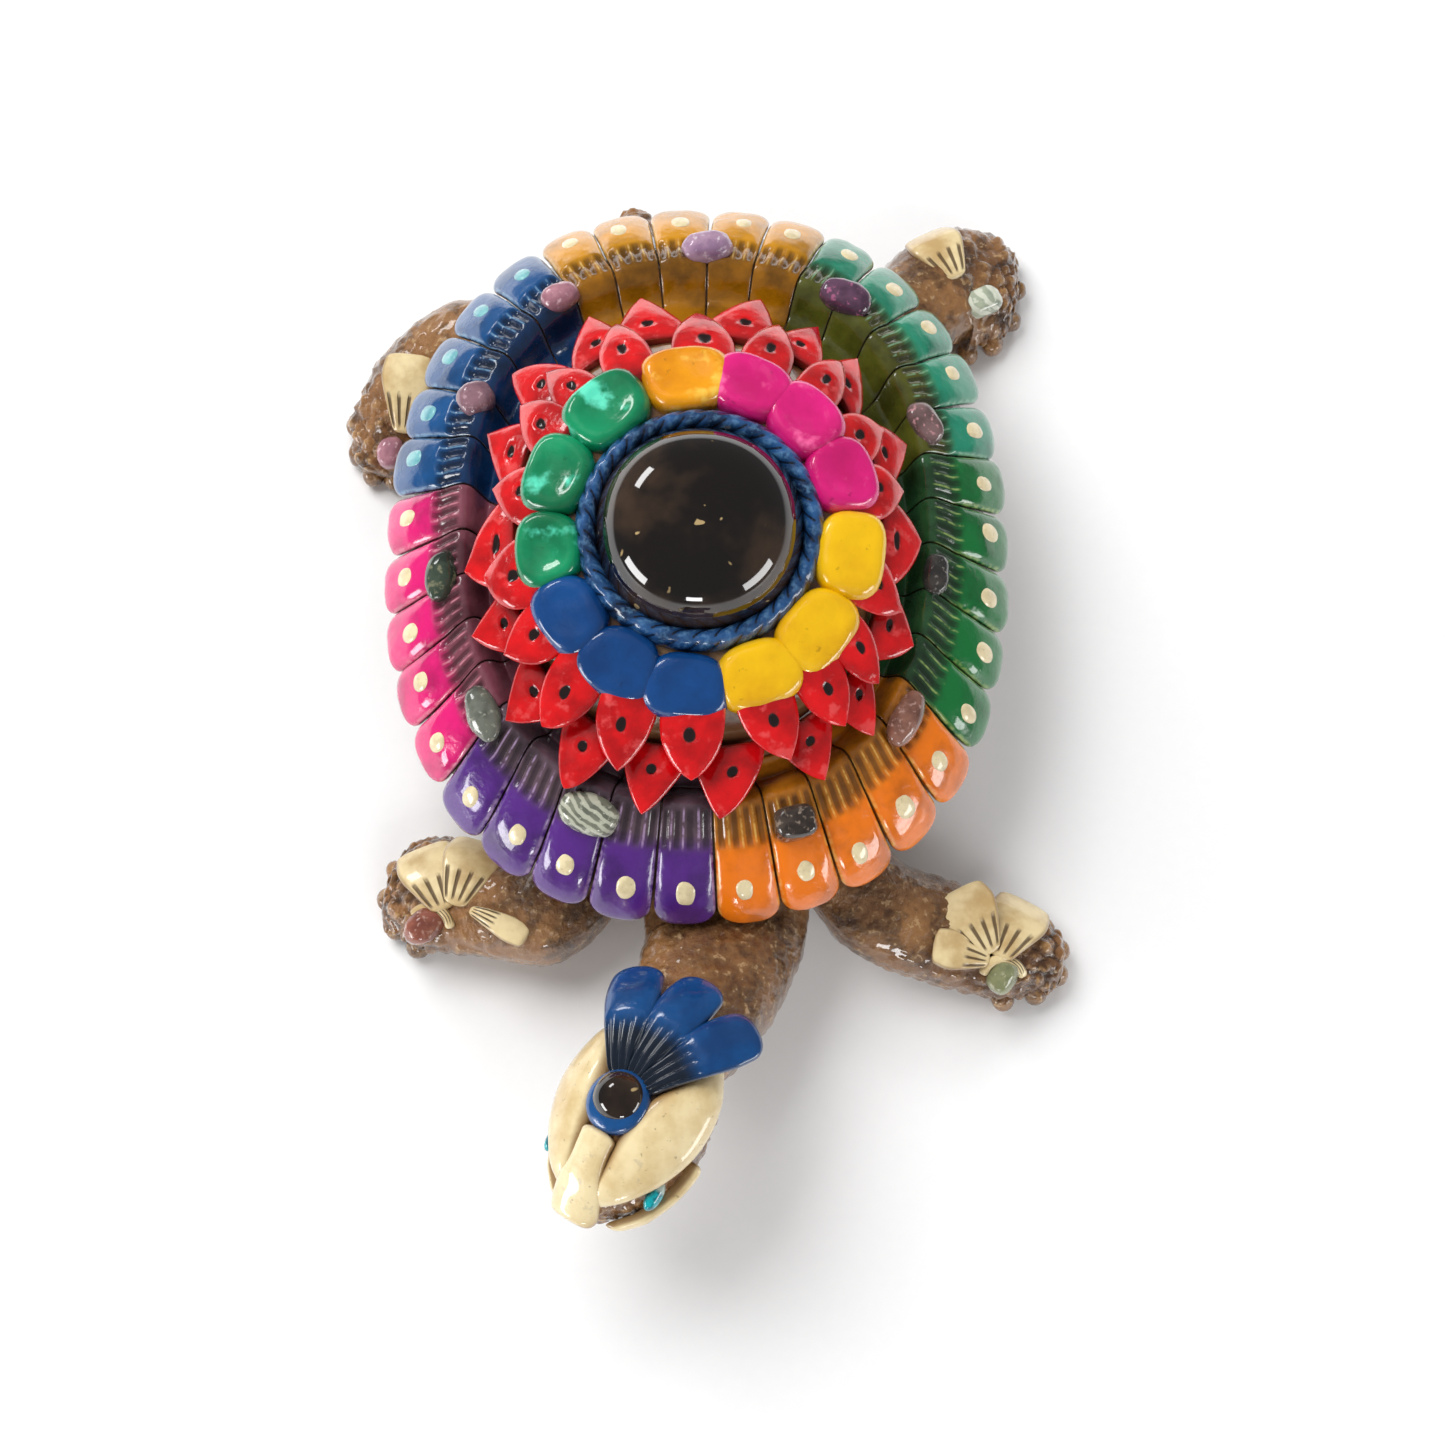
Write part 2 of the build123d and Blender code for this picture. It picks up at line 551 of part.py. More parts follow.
def shell_nodes(nodes):
    """The carapace with everything pressed onto its brim and flank."""
    solid = carapace_outside()
    nodes["carapace"] = [solid - carapace_hollow()]
    stones = {row[0]: seated(brim_stone(*row[1:]), solid) for row in STONES}
    edges = brim_edges()
    cream, turquoise, feathers = [], [], []
    for k, sector in enumerate(SECTORS):
        group = []
        for left, right in zip(edges[k * PER_SECTOR:], edges[k * PER_SECTOR + 1:(k + 1) * PER_SECTOR + 1]):
            dot = inlay(left, right)
            (turquoise if sector == "blue" else cream).append(dot)
            group.append(seated(feather(left, right), solid, dot, *stones.values()))
        nodes[f"{sector}_feathers"] = group
        feathers += group
    nodes["cream_inlays"], nodes["turquoise_inlays"] = cream, turquoise
    for name, stone in stones.items():
        nodes[name] = [stone]
    pitch = 360 / PETALS
    outer = [petal(OUTER_BASE, OUTER_TIP, 90 + pitch * (i + 0.5), pitch) for i in range(PETALS)]
    nodes["outer_petals"] = [seated(p, solid) for p in outer]
    nodes["obsidian_dome"] = [obsidian()]
    ring = seated(rope_ring(), *nodes["obsidian_dome"])
    nodes["rope_ring"] = [ring]
    pads = apart([seated(pad(*row[:3]), solid, ring) for row in PADS])
    for colour in ("gold", "pink", "yellow", "blue", "green"):
        nodes[f"{colour}_pads"] = [p for p, row in zip(pads, PADS) if row[3] == colour]
    inner = [petal(INNER_BASE, INNER_TIP, 90 + pitch * i, pitch) for i in range(PETALS)]
    nodes["inner_petals"] = [seated(p, solid, *pads) for p in inner]
    return solid, feathers


def head_nodes(nodes, body, shell, feathers):
    """The neck, the head and the mask and crest on it."""
    place = head_plane()
    core, gem = place * skull(), place * forehead_stone()
    neck = seated(limb(NECK_LINE, NECK_WIDTHS, NECK_HEIGHTS), body, shell, core, *feathers)
    cup = seated(place * bezel(), gem, core)
    ridge = seated(place * plate(NOSE_RIDGE, 1), core, cup)
    eyes = [place * eye(side) for side in (1, -1)]
    nodes["neck"], nodes["nose_ridge"], nodes["eyes"] = [neck], [ridge], eyes
    nodes["forehead_bezel"], nodes["forehead_obsidian"] = [cup], [gem]
    brows = [seated(place * plate(BROW_PLATE, side), core, *eyes, cup, ridge) for side in (1, -1)]
    nodes["left_brow_plate"], nodes["right_brow_plate"] = [brows[0]], [brows[1]]
    jaws = [seated(place * plate(JAW_PLATE, side), core, *eyes, ridge, *brows) for side in (1, -1)]
    nodes["jaw_plates"] = jaws
    crest = [seated(place * crest_feather(a), core, neck, cup, *brows) for a in CREST_ANGLES]
    nodes["crest_feathers"] = apart(crest)
    nodes["head"] = [seated(core, gem, *eyes)]
    return neck


def leg_nodes(nodes, name, body, neck):
    """One leg with its toes, cuff and stone."""
    stone, pellets = foot_stone(name), apart(toes(name))
    skin = seated(leg(name), body, neck, *pellets, stone)
    nodes[f"{name}_leg"] = [skin]
    nodes[f"{name}_toes"] = pellets
    nodes[f"{name}_foot_stone"] = [stone]
    nodes[f"{name}_cuff"] = apart([seated(lobe, skin, stone) for lobe in cuff(name)])


def build():
    """Every node's solids, by name."""
    nodes = {}
    body = torso()
    nodes["torso"] = [body]
    solid, feathers = shell_nodes(nodes)
    neck = head_nodes(nodes, body, solid, feathers)
    for name in LEG_LINES:
        leg_nodes(nodes, name, body, neck)
    nodes["tail"] = [seated(limb(TAIL_LINE, TAIL_WIDTHS, TAIL_HEIGHTS), body)]
    return nodes


def main():
    nodes = build()
    boxes = [s.bounding_box() for group in nodes.values() for s in group]
    low = [min(getattr(b.min, k) for b in boxes) for k in "XYZ"]
    high = [max(getattr(b.max, k) for b in boxes) for k in "XYZ"]
    shift = Pos(-(low[0] + high[0]) / 2, -(low[1] + high[1]) / 2, -low[2])
    os.makedirs("parts", exist_ok=True)
    for name, group in nodes.items():
        solids = [shift * s for s in group]
        export_step(solids[0] if len(solids) == 1 else Compound(children=solids), f"parts/{name}.step")
    print("nodes", len(nodes), "shift", [round(v, 2) for v in shift.position])


main()
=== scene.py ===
import bpy
import bmesh
import json
import math
import random
from mathutils import Matrix, Vector, noise


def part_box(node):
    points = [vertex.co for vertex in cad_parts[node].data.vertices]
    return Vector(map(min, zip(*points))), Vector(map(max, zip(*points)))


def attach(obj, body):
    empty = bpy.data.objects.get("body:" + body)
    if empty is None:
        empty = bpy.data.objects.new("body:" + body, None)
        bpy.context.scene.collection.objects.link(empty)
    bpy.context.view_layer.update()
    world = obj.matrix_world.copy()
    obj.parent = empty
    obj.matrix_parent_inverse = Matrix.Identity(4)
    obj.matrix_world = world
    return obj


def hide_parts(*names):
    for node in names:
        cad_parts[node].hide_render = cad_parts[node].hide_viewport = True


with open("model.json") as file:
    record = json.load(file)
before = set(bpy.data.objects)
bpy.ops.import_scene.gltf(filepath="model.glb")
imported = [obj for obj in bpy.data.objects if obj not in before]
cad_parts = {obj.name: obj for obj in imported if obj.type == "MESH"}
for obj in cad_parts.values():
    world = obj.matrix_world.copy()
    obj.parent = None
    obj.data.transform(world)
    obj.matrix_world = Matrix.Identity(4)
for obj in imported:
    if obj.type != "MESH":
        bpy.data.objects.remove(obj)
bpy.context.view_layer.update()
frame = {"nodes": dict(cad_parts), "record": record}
random.seed(7)
mm = 0.001

# the middle of the shell on the floor, which the layouts below are measured from
shellLow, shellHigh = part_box("carapace")
brimBack = 3.5          # mm, the rim's own centre lies this far behind the middle of the shell
home = Vector(((shellLow.x + shellHigh.x) / 2, (shellLow.y + shellHigh.y) / 2 - brimBack * mm, 0))


class Wire:
    # a socket that can be written into a sum
    def __init__(self, paint, socket):
        self.paint, self.socket = paint, socket

    def maths(self, operation, *others, clamp=False):
        settings = {"operation": operation, "use_clamp": clamp}
        values = dict(enumerate((self, *others)))
        return self.paint.add("ShaderNodeMath", settings, values)[0]

    def flipped(self, operation, other):
        return self.paint.add("ShaderNodeMath", {"operation": operation}, {0: other, 1: self})[0]

    def __add__(self, other):
        return self.maths("ADD", other)

    def __radd__(self, other):
        return self.maths("ADD", other)

    def __sub__(self, other):
        return self.maths("SUBTRACT", other)

    def __rsub__(self, other):
        return self.flipped("SUBTRACT", other)

    def __mul__(self, other):
        return self.maths("MULTIPLY", other)

    def __rmul__(self, other):
        return self.maths("MULTIPLY", other)

    def __truediv__(self, other):
        return self.maths("DIVIDE", other)

    def __rtruediv__(self, other):
        return self.flipped("DIVIDE", other)

    def __pow__(self, other):
        return self.maths("POWER", other)

    def __abs__(self):
        return self.maths("ABSOLUTE")

    def cos(self):
        return self.maths("COSINE")

    def between(self, low, high):
        # 0 at low rising smoothly to 1 at high
        values = {"Value": self, "From Min": low, "From Max": high}
        return self.paint.add("ShaderNodeMapRange", {"interpolation_type": "SMOOTHSTEP"}, values)[0]


class Paint:
    # one material and the nodes in it
    def __init__(self, name):
        self.material = bpy.data.materials.new(name)
        self.material.use_nodes = True
        self.tree = self.material.node_tree
        self.surface = self.tree.nodes["Principled BSDF"]

    def add(self, kind, settings=None, values=None):
        node = self.tree.nodes.new(kind)
        for key, value in (settings or {}).items():
            setattr(node, key, value)
        for key, value in (values or {}).items():
            if isinstance(value, Wire):
                self.tree.links.new(value.socket, node.inputs[key])
            else:
                node.inputs[key].default_value = value
        return [Wire(self, s) for s in node.outputs]

    def spot(self):
        return self.add("ShaderNodeTexCoord")[3]

    def laid(self):
        # across and along the piece, both 0 to 1
        uv = self.add("ShaderNodeUVMap", {"uv_map": "laid"})[0]
        parts = self.add("ShaderNodeSeparateXYZ", None, {0: uv})
        return parts[0], parts[1]

    def cloud(self, scale, detail=4.0, rough=0.55):
        values = {"Vector": self.spot(), "Scale": scale, "Detail": detail, "Roughness": rough}
        return self.add("ShaderNodeTexNoise", None, values)[0]

    def mix(self, factor, a, b, blend="MIX"):
        def full(c):
            return c if isinstance(c, Wire) else (*c, 1)
        settings = {"data_type": "RGBA", "blend_type": blend}
        return self.add("ShaderNodeMix", settings, {0: factor, 6: full(a), 7: full(b)})[2]

    def bump(self, height, distance, strength=1.0):
        values = {"Height": height, "Distance": distance, "Strength": strength}
        self.link("Normal", self.add("ShaderNodeBump", None, values)[0])

    def link(self, name, value):
        if isinstance(value, Wire):
            self.tree.links.new(value.socket, self.surface.inputs[name])
        else:
            self.surface.inputs[name].default_value = value

    def finish(self, **sockets):
        for name, value in sockets.items():
            self.link(name.replace("_", " "), value)
        return self.material


varnish = {"coat": 1.0, "coatRoughness": 0.035, "ior": 1.5}


def varnished(paint, colour, rough, bumpHeight=None, bumpSize=0.0004):
    paint.link("Base Color", colour)
    paint.link("Roughness", rough)
    if bumpHeight is not None:
        paint.bump(bumpHeight, bumpSize)
    return paint.finish(Coat_Weight=varnish["coat"], Coat_Roughness=varnish["coatRoughness"])


def featherGlaze(name, bright, deep, worn):
    # bright on the tip, darkened in the comb, and brown under thick varnish further in
    paint = Paint(name)
    across, along = paint.laid()
    fine, coarse = paint.cloud(420), paint.cloud(90)
    side = abs(across - 0.5) * 2
    tint = paint.mix(coarse.between(0.4, 0.75), bright, tuple(c * 0.55 for c in bright))
    inner = paint.mix(coarse.between(0.35, 0.7), deep, tuple(c * 0.4 for c in deep))
    start = along + (fine - 0.5) * 0.03
    colour = paint.mix(1 - start.between(0.44, 0.53), tint, inner)
    wave = (across * 2 * math.pi * comb["loops"]).cos() * -0.5 + 0.5
    inBand = along.between(0.35, 0.38) * (1 - along.between(0.48, 0.51))
    colour = paint.mix(wave.between(0.3, 0.8) * inBand * 0.6, colour, tuple(c * 0.12 for c in deep))
    ridge = (1 - wave.between(0.0, 0.12)) * inBand * fine.between(0.35, 0.6)
    colour = paint.mix(ridge * 0.5, colour, worn)
    rim = side.between(0.84, 0.95) * along.between(0.46, 0.55) * fine.between(0.36, 0.6)
    colour = paint.mix(rim * 0.6, colour, worn)
    colour = paint.mix(side.between(0.965, 1.0) * 0.9, colour, (0.02, 0.012, 0.008))
    return varnished(paint, colour, 0.22, coarse * 0.8 + fine * 0.2, 0.0009)


def petalGlaze():
    paint = Paint("redGlaze")
    across, along = paint.laid()
    fine, coarse = paint.cloud(500), paint.cloud(110)
    side = abs(across - 0.5) * 2
    colour = paint.mix(coarse.between(0.3, 0.75), (0.70, 0.004, 0.007), (0.36, 0.001, 0.003))
    colour = paint.mix((1 - along.between(0.0, 0.25)) * 0.75, colour, (0.10, 0.004, 0.004))
    # painted highlight: lighter pink patches over the red
    colour = paint.mix(paint.cloud(160).between(0.56, 0.68) * 0.55, colour, (0.80, 0.10, 0.10))
    rim = side.between(0.86, 0.98) * fine.between(0.42, 0.6)
    colour = paint.mix(rim * 0.8, colour, (0.78, 0.30, 0.08))
    aside, ahead = (across - 0.5) / petals["holeAcross"], (along - petals["holeAt"]) / petals["holeAlong"]
    ring = (aside * aside + ahead * ahead) ** 0.5
    colour = paint.mix(1 - ring.between(0.75, 1.0), colour, (0.012, 0.004, 0.004))
    return varnished(paint, colour, 0.2, coarse, 0.0008)


def clayGlaze(name, colour, shade, light=None, scale=70, bumpSize=0.0009):
    # a plain painted pillow, thicker and thinner in places
    paint = Paint(name)
    fine, coarse = paint.cloud(scale * 6), paint.cloud(scale)
    mixed = paint.mix(coarse.between(0.32, 0.72), colour, shade)
    if light:
        mixed = paint.mix(paint.cloud(scale * 1.7).between(0.56, 0.7), mixed, light)
    mixed = paint.mix(fine.between(0.66, 0.72) * 0.4, mixed, tuple(c * 0.3 for c in shade))
    return varnished(paint, mixed, 0.22, coarse * 0.85 + fine * 0.15, bumpSize)


def ropeGlaze():
    paint = Paint("ropeGlaze")
    across, _ = paint.laid()
    fine, coarse = paint.cloud(700), paint.cloud(120)
    colour = paint.mix(coarse.between(0.35, 0.7), (0.018, 0.085, 0.24), (0.006, 0.02, 0.06))
    colour = paint.mix(across.between(0.55, 0.95) * fine.between(0.4, 0.62) * 0.5, colour, (0.12, 0.27, 0.46))
    colour = paint.mix(1 - across.between(0.08, 0.42), colour, (0.004, 0.007, 0.015))
    return varnished(paint, colour, 0.25, fine, 0.0002)


def creamGlaze():
    # cream paint with brown rubbed into the scratches and along the edges
    paint = Paint("creamGlaze")
    across, along = paint.laid()
    fine, coarse = paint.cloud(600), paint.cloud(80)
    side = abs(across - 0.5) * 2
    colour = paint.mix(coarse.between(0.35, 0.70), (0.82, 0.68, 0.40), (0.62, 0.45, 0.21))
    colour = paint.mix(paint.cloud(260).between(0.60, 0.70) * 0.4, colour, (0.42, 0.36, 0.26))
    colour = paint.mix(side.between(0.74, 0.98) * 0.8, colour, (0.28, 0.14, 0.04))
    colour = paint.mix(fine.between(0.64, 0.72) * 0.5, colour, (0.16, 0.10, 0.06))
    ends = (1 - along.between(0.0, 0.1)) * 0.6
    colour = paint.mix(ends, colour, (0.22, 0.12, 0.05))
    return varnished(paint, colour, 0.3, coarse * 0.7 + fine * 0.3, 0.0006)


def cuffGlaze():
    # the cream of the cuffs, with a fan of strokes scratched in near the root
    paint = Paint("cuffGlaze")
    across, along = paint.laid()
    fine, coarse = paint.cloud(600), paint.cloud(90)
    side = abs(across - 0.5) * 2
    colour = paint.mix(coarse.between(0.35, 0.70), (0.82, 0.67, 0.38), (0.52, 0.35, 0.15))
    stroke = ((across * 2 * math.pi * cuffs["strokes"]).cos() * -0.5 + 0.5).between(0.62, 0.95)
    band = along.between(0.08, 0.16) * (1 - (along + (fine - 0.5) * 0.12).between(0.42, 0.5))
    colour = paint.mix(stroke * band * 0.9, colour, (0.10, 0.055, 0.025))
    colour = paint.mix(side.between(0.84, 1.0) * 0.75, colour, (0.24, 0.13, 0.05))
    return varnished(paint, colour, 0.3, coarse - stroke * band * 0.8, 0.0006)


def skinGlaze():
    # brown clay with a painted bronze highlight on the high spots and darker in the hollows; across holds the
    # rise
    paint = Paint("skinGlaze")
    rise, _ = paint.laid()
    fine, middling, coarse = paint.cloud(450), paint.cloud(130), paint.cloud(34)
    colour = paint.mix(coarse.between(0.38, 0.62), (0.27, 0.125, 0.045), (0.11, 0.046, 0.018))
    colour = paint.mix(middling.between(0.50, 0.62) * 0.7, colour, (0.050, 0.022, 0.010))
    # painted highlight: bronze where the rise is high
    colour = paint.mix(rise.between(0.35, 0.95) * fine.between(0.35, 0.62) * 0.75, colour, (0.46, 0.26, 0.10))
    colour = paint.mix((1 - rise.between(0.02, 0.25)) * 0.75, colour, (0.030, 0.013, 0.007))
    # painted glints: small golden specks
    colour = paint.mix(fine.between(0.60, 0.68) * 0.45, colour, (0.62, 0.42, 0.22))
    return varnished(paint, colour, 0.24, middling * 0.6 + fine * 0.4, 0.0026)


def obsidianPolish():
    # nearly black, with brown clouds painted in as a reflection of the room, and a few golden specks
    paint = Paint("obsidianPolish")
    specks, coarse = paint.cloud(240, detail=1.0), paint.cloud(28)
    # painted reflection: brown clouds over the black
    colour = paint.mix(coarse.between(0.44, 0.60), (0.004, 0.002, 0.0015), (0.040, 0.022, 0.012))
    colour = paint.mix(specks.between(0.745, 0.775), colour, (0.42, 0.30, 0.14))
    paint.link("Base Color", colour)
    paint.link("Roughness", 0.06)
    return paint.finish(Coat_Weight=1.0, Coat_Roughness=0.02)


def stonePolish(name, colour, shade, light, scale=160, stripes=0.0):
    paint = Paint(name)
    coarse, fine = paint.cloud(scale, detail=6), paint.cloud(scale * 3.5)
    mixed = paint.mix(coarse.between(0.35, 0.66), colour, shade)
    mixed = paint.mix(fine.between(0.56, 0.68) * 0.8, mixed, light)
    if stripes:
        settings = {"wave_type": "BANDS", "bands_direction": "DIAGONAL"}
        values = {"Vector": paint.spot(), "Scale": stripes, "Distortion": 5.0, "Detail": 3.0}
        bands = paint.add("ShaderNodeTexWave", settings, values)[1]
        mixed = paint.mix(bands.between(0.35, 0.75) * 0.8, mixed, light)
    paint.link("Base Color", mixed)
    paint.link("Roughness", 0.12)
    paint.bump(coarse, 0.0004)
    return paint.finish(Coat_Weight=1.0, Coat_Roughness=0.04)


def inlayPolish(name, colour, shade):
    paint = Paint(name)
    coarse, fine = paint.cloud(300), paint.cloud(1100)
    mixed = paint.mix(coarse.between(0.4, 0.65), colour, shade)
    mixed = paint.mix(fine.between(0.6, 0.7) * 0.35, mixed, tuple(c * 0.45 for c in shade))
    return varnished(paint, mixed, 0.25, coarse, 0.0003)


def glassEye():
    # turquoise at the front of the eye, pale glass at the back; across holds the way ahead
    paint = Paint("turquoiseGlass")
    ahead, _ = paint.laid()
    coarse = paint.cloud(500)
    colour = paint.mix(coarse.between(0.4, 0.6), (0.003, 0.42, 0.47), (0.001, 0.14, 0.18))
    colour = paint.mix(1 - ahead.between(0.26, 0.40), colour, (0.50, 0.62, 0.56))
    paint.link("Base Color", colour)
    paint.link("Roughness", 0.08)
    return paint.finish(Coat_Weight=1.0, Coat_Roughness=0.02)


def floorFinish():
    paint = Paint("floorPaper")
    grain = paint.cloud(300)
    colour = paint.mix(grain, (0.93, 0.93, 0.93), (0.90, 0.90, 0.905))
    return paint.finish(Base_Color=colour, Roughness=0.75)


def clearSelection():
    if bpy.context.object and bpy.context.object.mode != "OBJECT":
        bpy.ops.object.mode_set(mode="OBJECT")
    bpy.ops.object.select_all(action="DESELECT")


def layUv(piece, laid):
    # writes each vertex's own across and along onto the piece
    mesh = piece.data
    while mesh.uv_layers:
        mesh.uv_layers.remove(mesh.uv_layers[0])
    layer = mesh.uv_layers.new(name="laid")
    for loop in mesh.loops:
        layer.data[loop.index].uv = laid[loop.vertex_index]


def clayBall(name, shape, segments=24, rings=16):
    # a ball of clay pressed into a shape: shape(t, turn, point) gives place, across and along
    clearSelection()
    bpy.ops.mesh.primitive_uv_sphere_add(segments=segments, ring_count=rings, radius=1)
    piece = bpy.context.object
    piece.name = name
    laid = []
    for vertex in piece.data.vertices:
        t = math.acos(max(-1.0, min(1.0, vertex.co.z))) / math.pi
        turn = math.atan2(vertex.co.y, vertex.co.x)
        place, across, along = shape(t, turn, vertex.co.copy())
        vertex.co = home + place * mm
        laid.append((across, along))
    layUv(piece, laid)
    bpy.ops.object.mode_set(mode="EDIT")
    bpy.ops.mesh.select_all(action="SELECT")
    bpy.ops.mesh.normals_make_consistent(inside=False)
    bpy.ops.object.mode_set(mode="OBJECT")
    bpy.ops.object.shade_smooth()
    return piece


def joined(name, pieces):
    clearSelection()
    for piece in pieces:
        piece.select_set(True)
    bpy.context.view_layer.objects.active = pieces[0]
    if len(pieces) > 1:
        bpy.ops.object.join()
    piece = bpy.context.object
    piece.name = name
    return piece


def place(piece, node, slot, material):
    piece.data.materials.clear()
    piece.data.materials.append(material)
    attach(piece, "root")
    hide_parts(node)


def smooth(low, high, x):
    t = max(0.0, min(1.0, (x - low) / (high - low)))
    return t * t * (3 - 2 * t)


def signed(x, power):
    return math.copysign(abs(x) ** power, x)


def rowAt(rows, p):
    # a smooth curve through a table's rows, p counted in rows
    last = len(rows) - 1
    i = max(0, min(last - 1, int(math.floor(p))))
    f = p - i
    a, b, c, d = rows[max(i - 1, 0)], rows[i], rows[i + 1], rows[min(i + 2, last)]
    return [
        0.5 * (2 * q + (r - o) * f + (2 * o - 5 * q + 4 * r - s) * f * f + (3 * q - o - 3 * r + s) * f ** 3)
        for o, q, r, s in zip(a, b, c, d)
    ]


def ovalPoint(row, angle):
    cx, cy, rx, ry, z = row
    c, s = math.cos(math.radians(angle)), math.sin(math.radians(angle))
    power = 2 / brim["squareness"]
    return Vector((cx + rx * signed(c, power), cy + ry * signed(s, power), z))


def lifted(surface, p, q, height, stepP=0.02, stepQ=0.5):
    # the point over a surface at a height, along the surface's own normal
    base = surface(p, q)
    alongP = surface(p + stepP, q) - surface(p - stepP, q)
    alongQ = surface(p, q + stepQ) - surface(p, q - stepQ)
    out = alongP.cross(alongQ).normalized()
    return base + out * height, out


brim = {
    "squareness": 2.3,
    # centre x, centre y, half width, half length, height: root, valley, lip, comb, inlay, tip, curl
    "profile": [
        (0, 0, 52, 63.5, 58), (0, 3, 57.5, 71, 52.2), (0, 5, 63.5, 78.5, 57.4), (0, 3.5, 71.6, 88.4, 53.0),
        (0, 3.0, 78.4, 97.0, 47.6), (0, 3.5, 84.6, 103.8, 40.2), (0, 3.5, 86.2, 105.4, 36.0),
    ],
    "firstEdge": 67.0,
    "perSector": 5,
    "share": 0.975,
    "rootAt": 0.05,
    "tipAt": 5.42,
    "tabAt": 2.85,
    "tabHeight": 2.5,
    "combHeight": 1.3,
    "innerHeight": 0.8,
}
comb = {"loops": 4, "from": 2.15, "to": 3.05, "depth": 0.8}

# bright tip, deep root, worn edge, in the order of the sectors, anticlockwise from the back
sectors = {
    "gold": ((0.62, 0.27, 0.004), (0.32, 0.125, 0.002), (0.82, 0.56, 0.18)),
    "blue": ((0.002, 0.068, 0.22), (0.003, 0.026, 0.09), (0.20, 0.40, 0.60)),
    "pink": ((0.70, 0.008, 0.165), (0.20, 0.055, 0.080), (0.82, 0.32, 0.40)),
    "purple": ((0.085, 0.018, 0.210), (0.120, 0.072, 0.095), (0.55, 0.38, 0.62)),
    "orange": ((0.84, 0.185, 0.003), (0.50, 0.17, 0.010), (0.88, 0.56, 0.14)),
    "green": ((0.001, 0.150, 0.030), (0.022, 0.085, 0.028), (0.45, 0.58, 0.18)),
    "teal": ((0.012, 0.250, 0.145), (0.080, 0.085, 0.010), (0.28, 0.55, 0.36)),
}


def brimSurface(p, angle):
    return ovalPoint(rowAt(brim["profile"], p), angle)


def brimEdges():
    # angles of the edges between feathers, evenly spaced along the tips
    count, steps = len(sectors) * brim["perSector"], 720
    angles = [brim["firstEdge"] + 360 * i / steps for i in range(steps + 1)]
    places = [brimSurface(5, a) for a in angles]
    run = [0.0]
    for a, b in zip(places, places[1:]):
        run.append(run[-1] + (b - a).length)
    edges, k = [], 0
    for i in range(count + 1):
        while k < steps and run[k] < run[-1] * i / count - 1e-9:
            k += 1
        edges.append(angles[k])
    return edges


def featherHeight(p, u):
    edge = max(0.0, 1 - abs(u) ** 3.4) ** 0.55
    step = smooth(brim["tabAt"] - 0.05, brim["tabAt"] + 0.16, p)
    inner = smooth(1.85, 2.1, p)
    height = brim["innerHeight"] + (brim["combHeight"] - brim["innerHeight"]) * inner
    height += (brim["tabHeight"] - brim["combHeight"]) * step
    groove = smooth(0.3, 0.95, 0.5 - 0.5 * math.cos((u + 1) * math.pi * comb["loops"]))
    band = smooth(comb["from"], comb["from"] + 0.12, p) * (1 - smooth(comb["to"] - 0.22, comb["to"], p))
    return height * edge - comb["depth"] * groove * band * edge


def feather(left, right, seed):
    middle, half = (left + right) / 2, (right - left) / 2 * brim["share"]
    sway = random.uniform(-0.06, 0.06)
    reach = brim["tipAt"] + random.uniform(-0.12, 0.1)

    def shape(t, turn, point):
        c, s = math.cos(turn), math.sin(turn)
        p = brim["rootAt"] + (reach - brim["rootAt"]) * t
        rounding = max(0.0, (p - (reach - 0.95)) / 0.95)
        wide = math.sqrt(max(0.0, 1 - rounding ** 2.6)) * min(1.0, t / 0.02)
        u = signed(c, 0.75)
        angle = middle + half * (u * wide + sway * smooth(3, 5, p))
        if s >= 0:
            soft = min(1.0, (t / 0.04)) * max(0.0, 1 - rounding ** 3) ** 0.5
            lift = featherHeight(p, u) * soft
            lift += 0.16 * noise.noise(Vector((u * 2 + seed, p * 1.7, seed * 0.37))) * soft
        else:
            lift = -1.6 * abs(s) ** 0.5 * max(0.0, 1 - rounding ** 3) ** 0.5
        spot, _ = lifted(brimSurface, p, angle, lift)
        return spot, u * wide * 0.5 + 0.5 if s >= 0 else 1.0, p / 6

    return clayBall("feather", shape, segments=72, rings=64)


def inlay(left, right, seed):
    middle = (left + right) / 2 + random.uniform(-0.08, 0.08) * (right - left)
    spot, out = lifted(brimSurface, 4 + random.uniform(-0.12, 0.12), middle, brim["tabHeight"] - 0.25)
    side = Vector((-spot.y, spot.x, 0)).normalized()
    ahead = side.cross(out).normalized()
    side = out.cross(ahead)
    long, wide = random.uniform(3.0, 3.7), random.uniform(2.3, 2.8)

    def shape(t, turn, point):
        bulge = 1 + 0.10 * noise.noise(point * 1.3 + Vector((seed, 0, 0)))
        x, y, z = signed(point.x, 0.9) * long * bulge, signed(point.y, 0.9) * wide * bulge, point.z * 0.75
        return spot + ahead * x + side * y + out * z, point.x, point.y

    return clayBall("inlay", shape, segments=20, rings=10)


edges = brimEdges()
cream, turquoise = [], []
inlayCream = inlayPolish("shellInlay", (0.80, 0.68, 0.42), (0.66, 0.55, 0.33))
inlayBlue = inlayPolish("turquoiseInlay", (0.20, 0.48, 0.50), (0.12, 0.34, 0.40))
for k, (sector, colours) in enumerate(sectors.items()):
    group = []
    for i in range(k * brim["perSector"], (k + 1) * brim["perSector"]):
        group.append(feather(edges[i], edges[i + 1], i * 3.1))
        (turquoise if sector == "blue" else cream).append(inlay(edges[i], edges[i + 1], i * 1.7))
    place(joined(sector + "Feathers", group), sector + "_feathers", sector + "_glaze",
          featherGlaze(sector + "Glaze", *colours))
place(joined("creamInlays", cream), "cream_inlays", "shell_inlay", inlayCream)
place(joined("turquoiseInlays", turquoise), "turquoise_inlays", "turquoise_inlay", inlayBlue)
print("brim done")


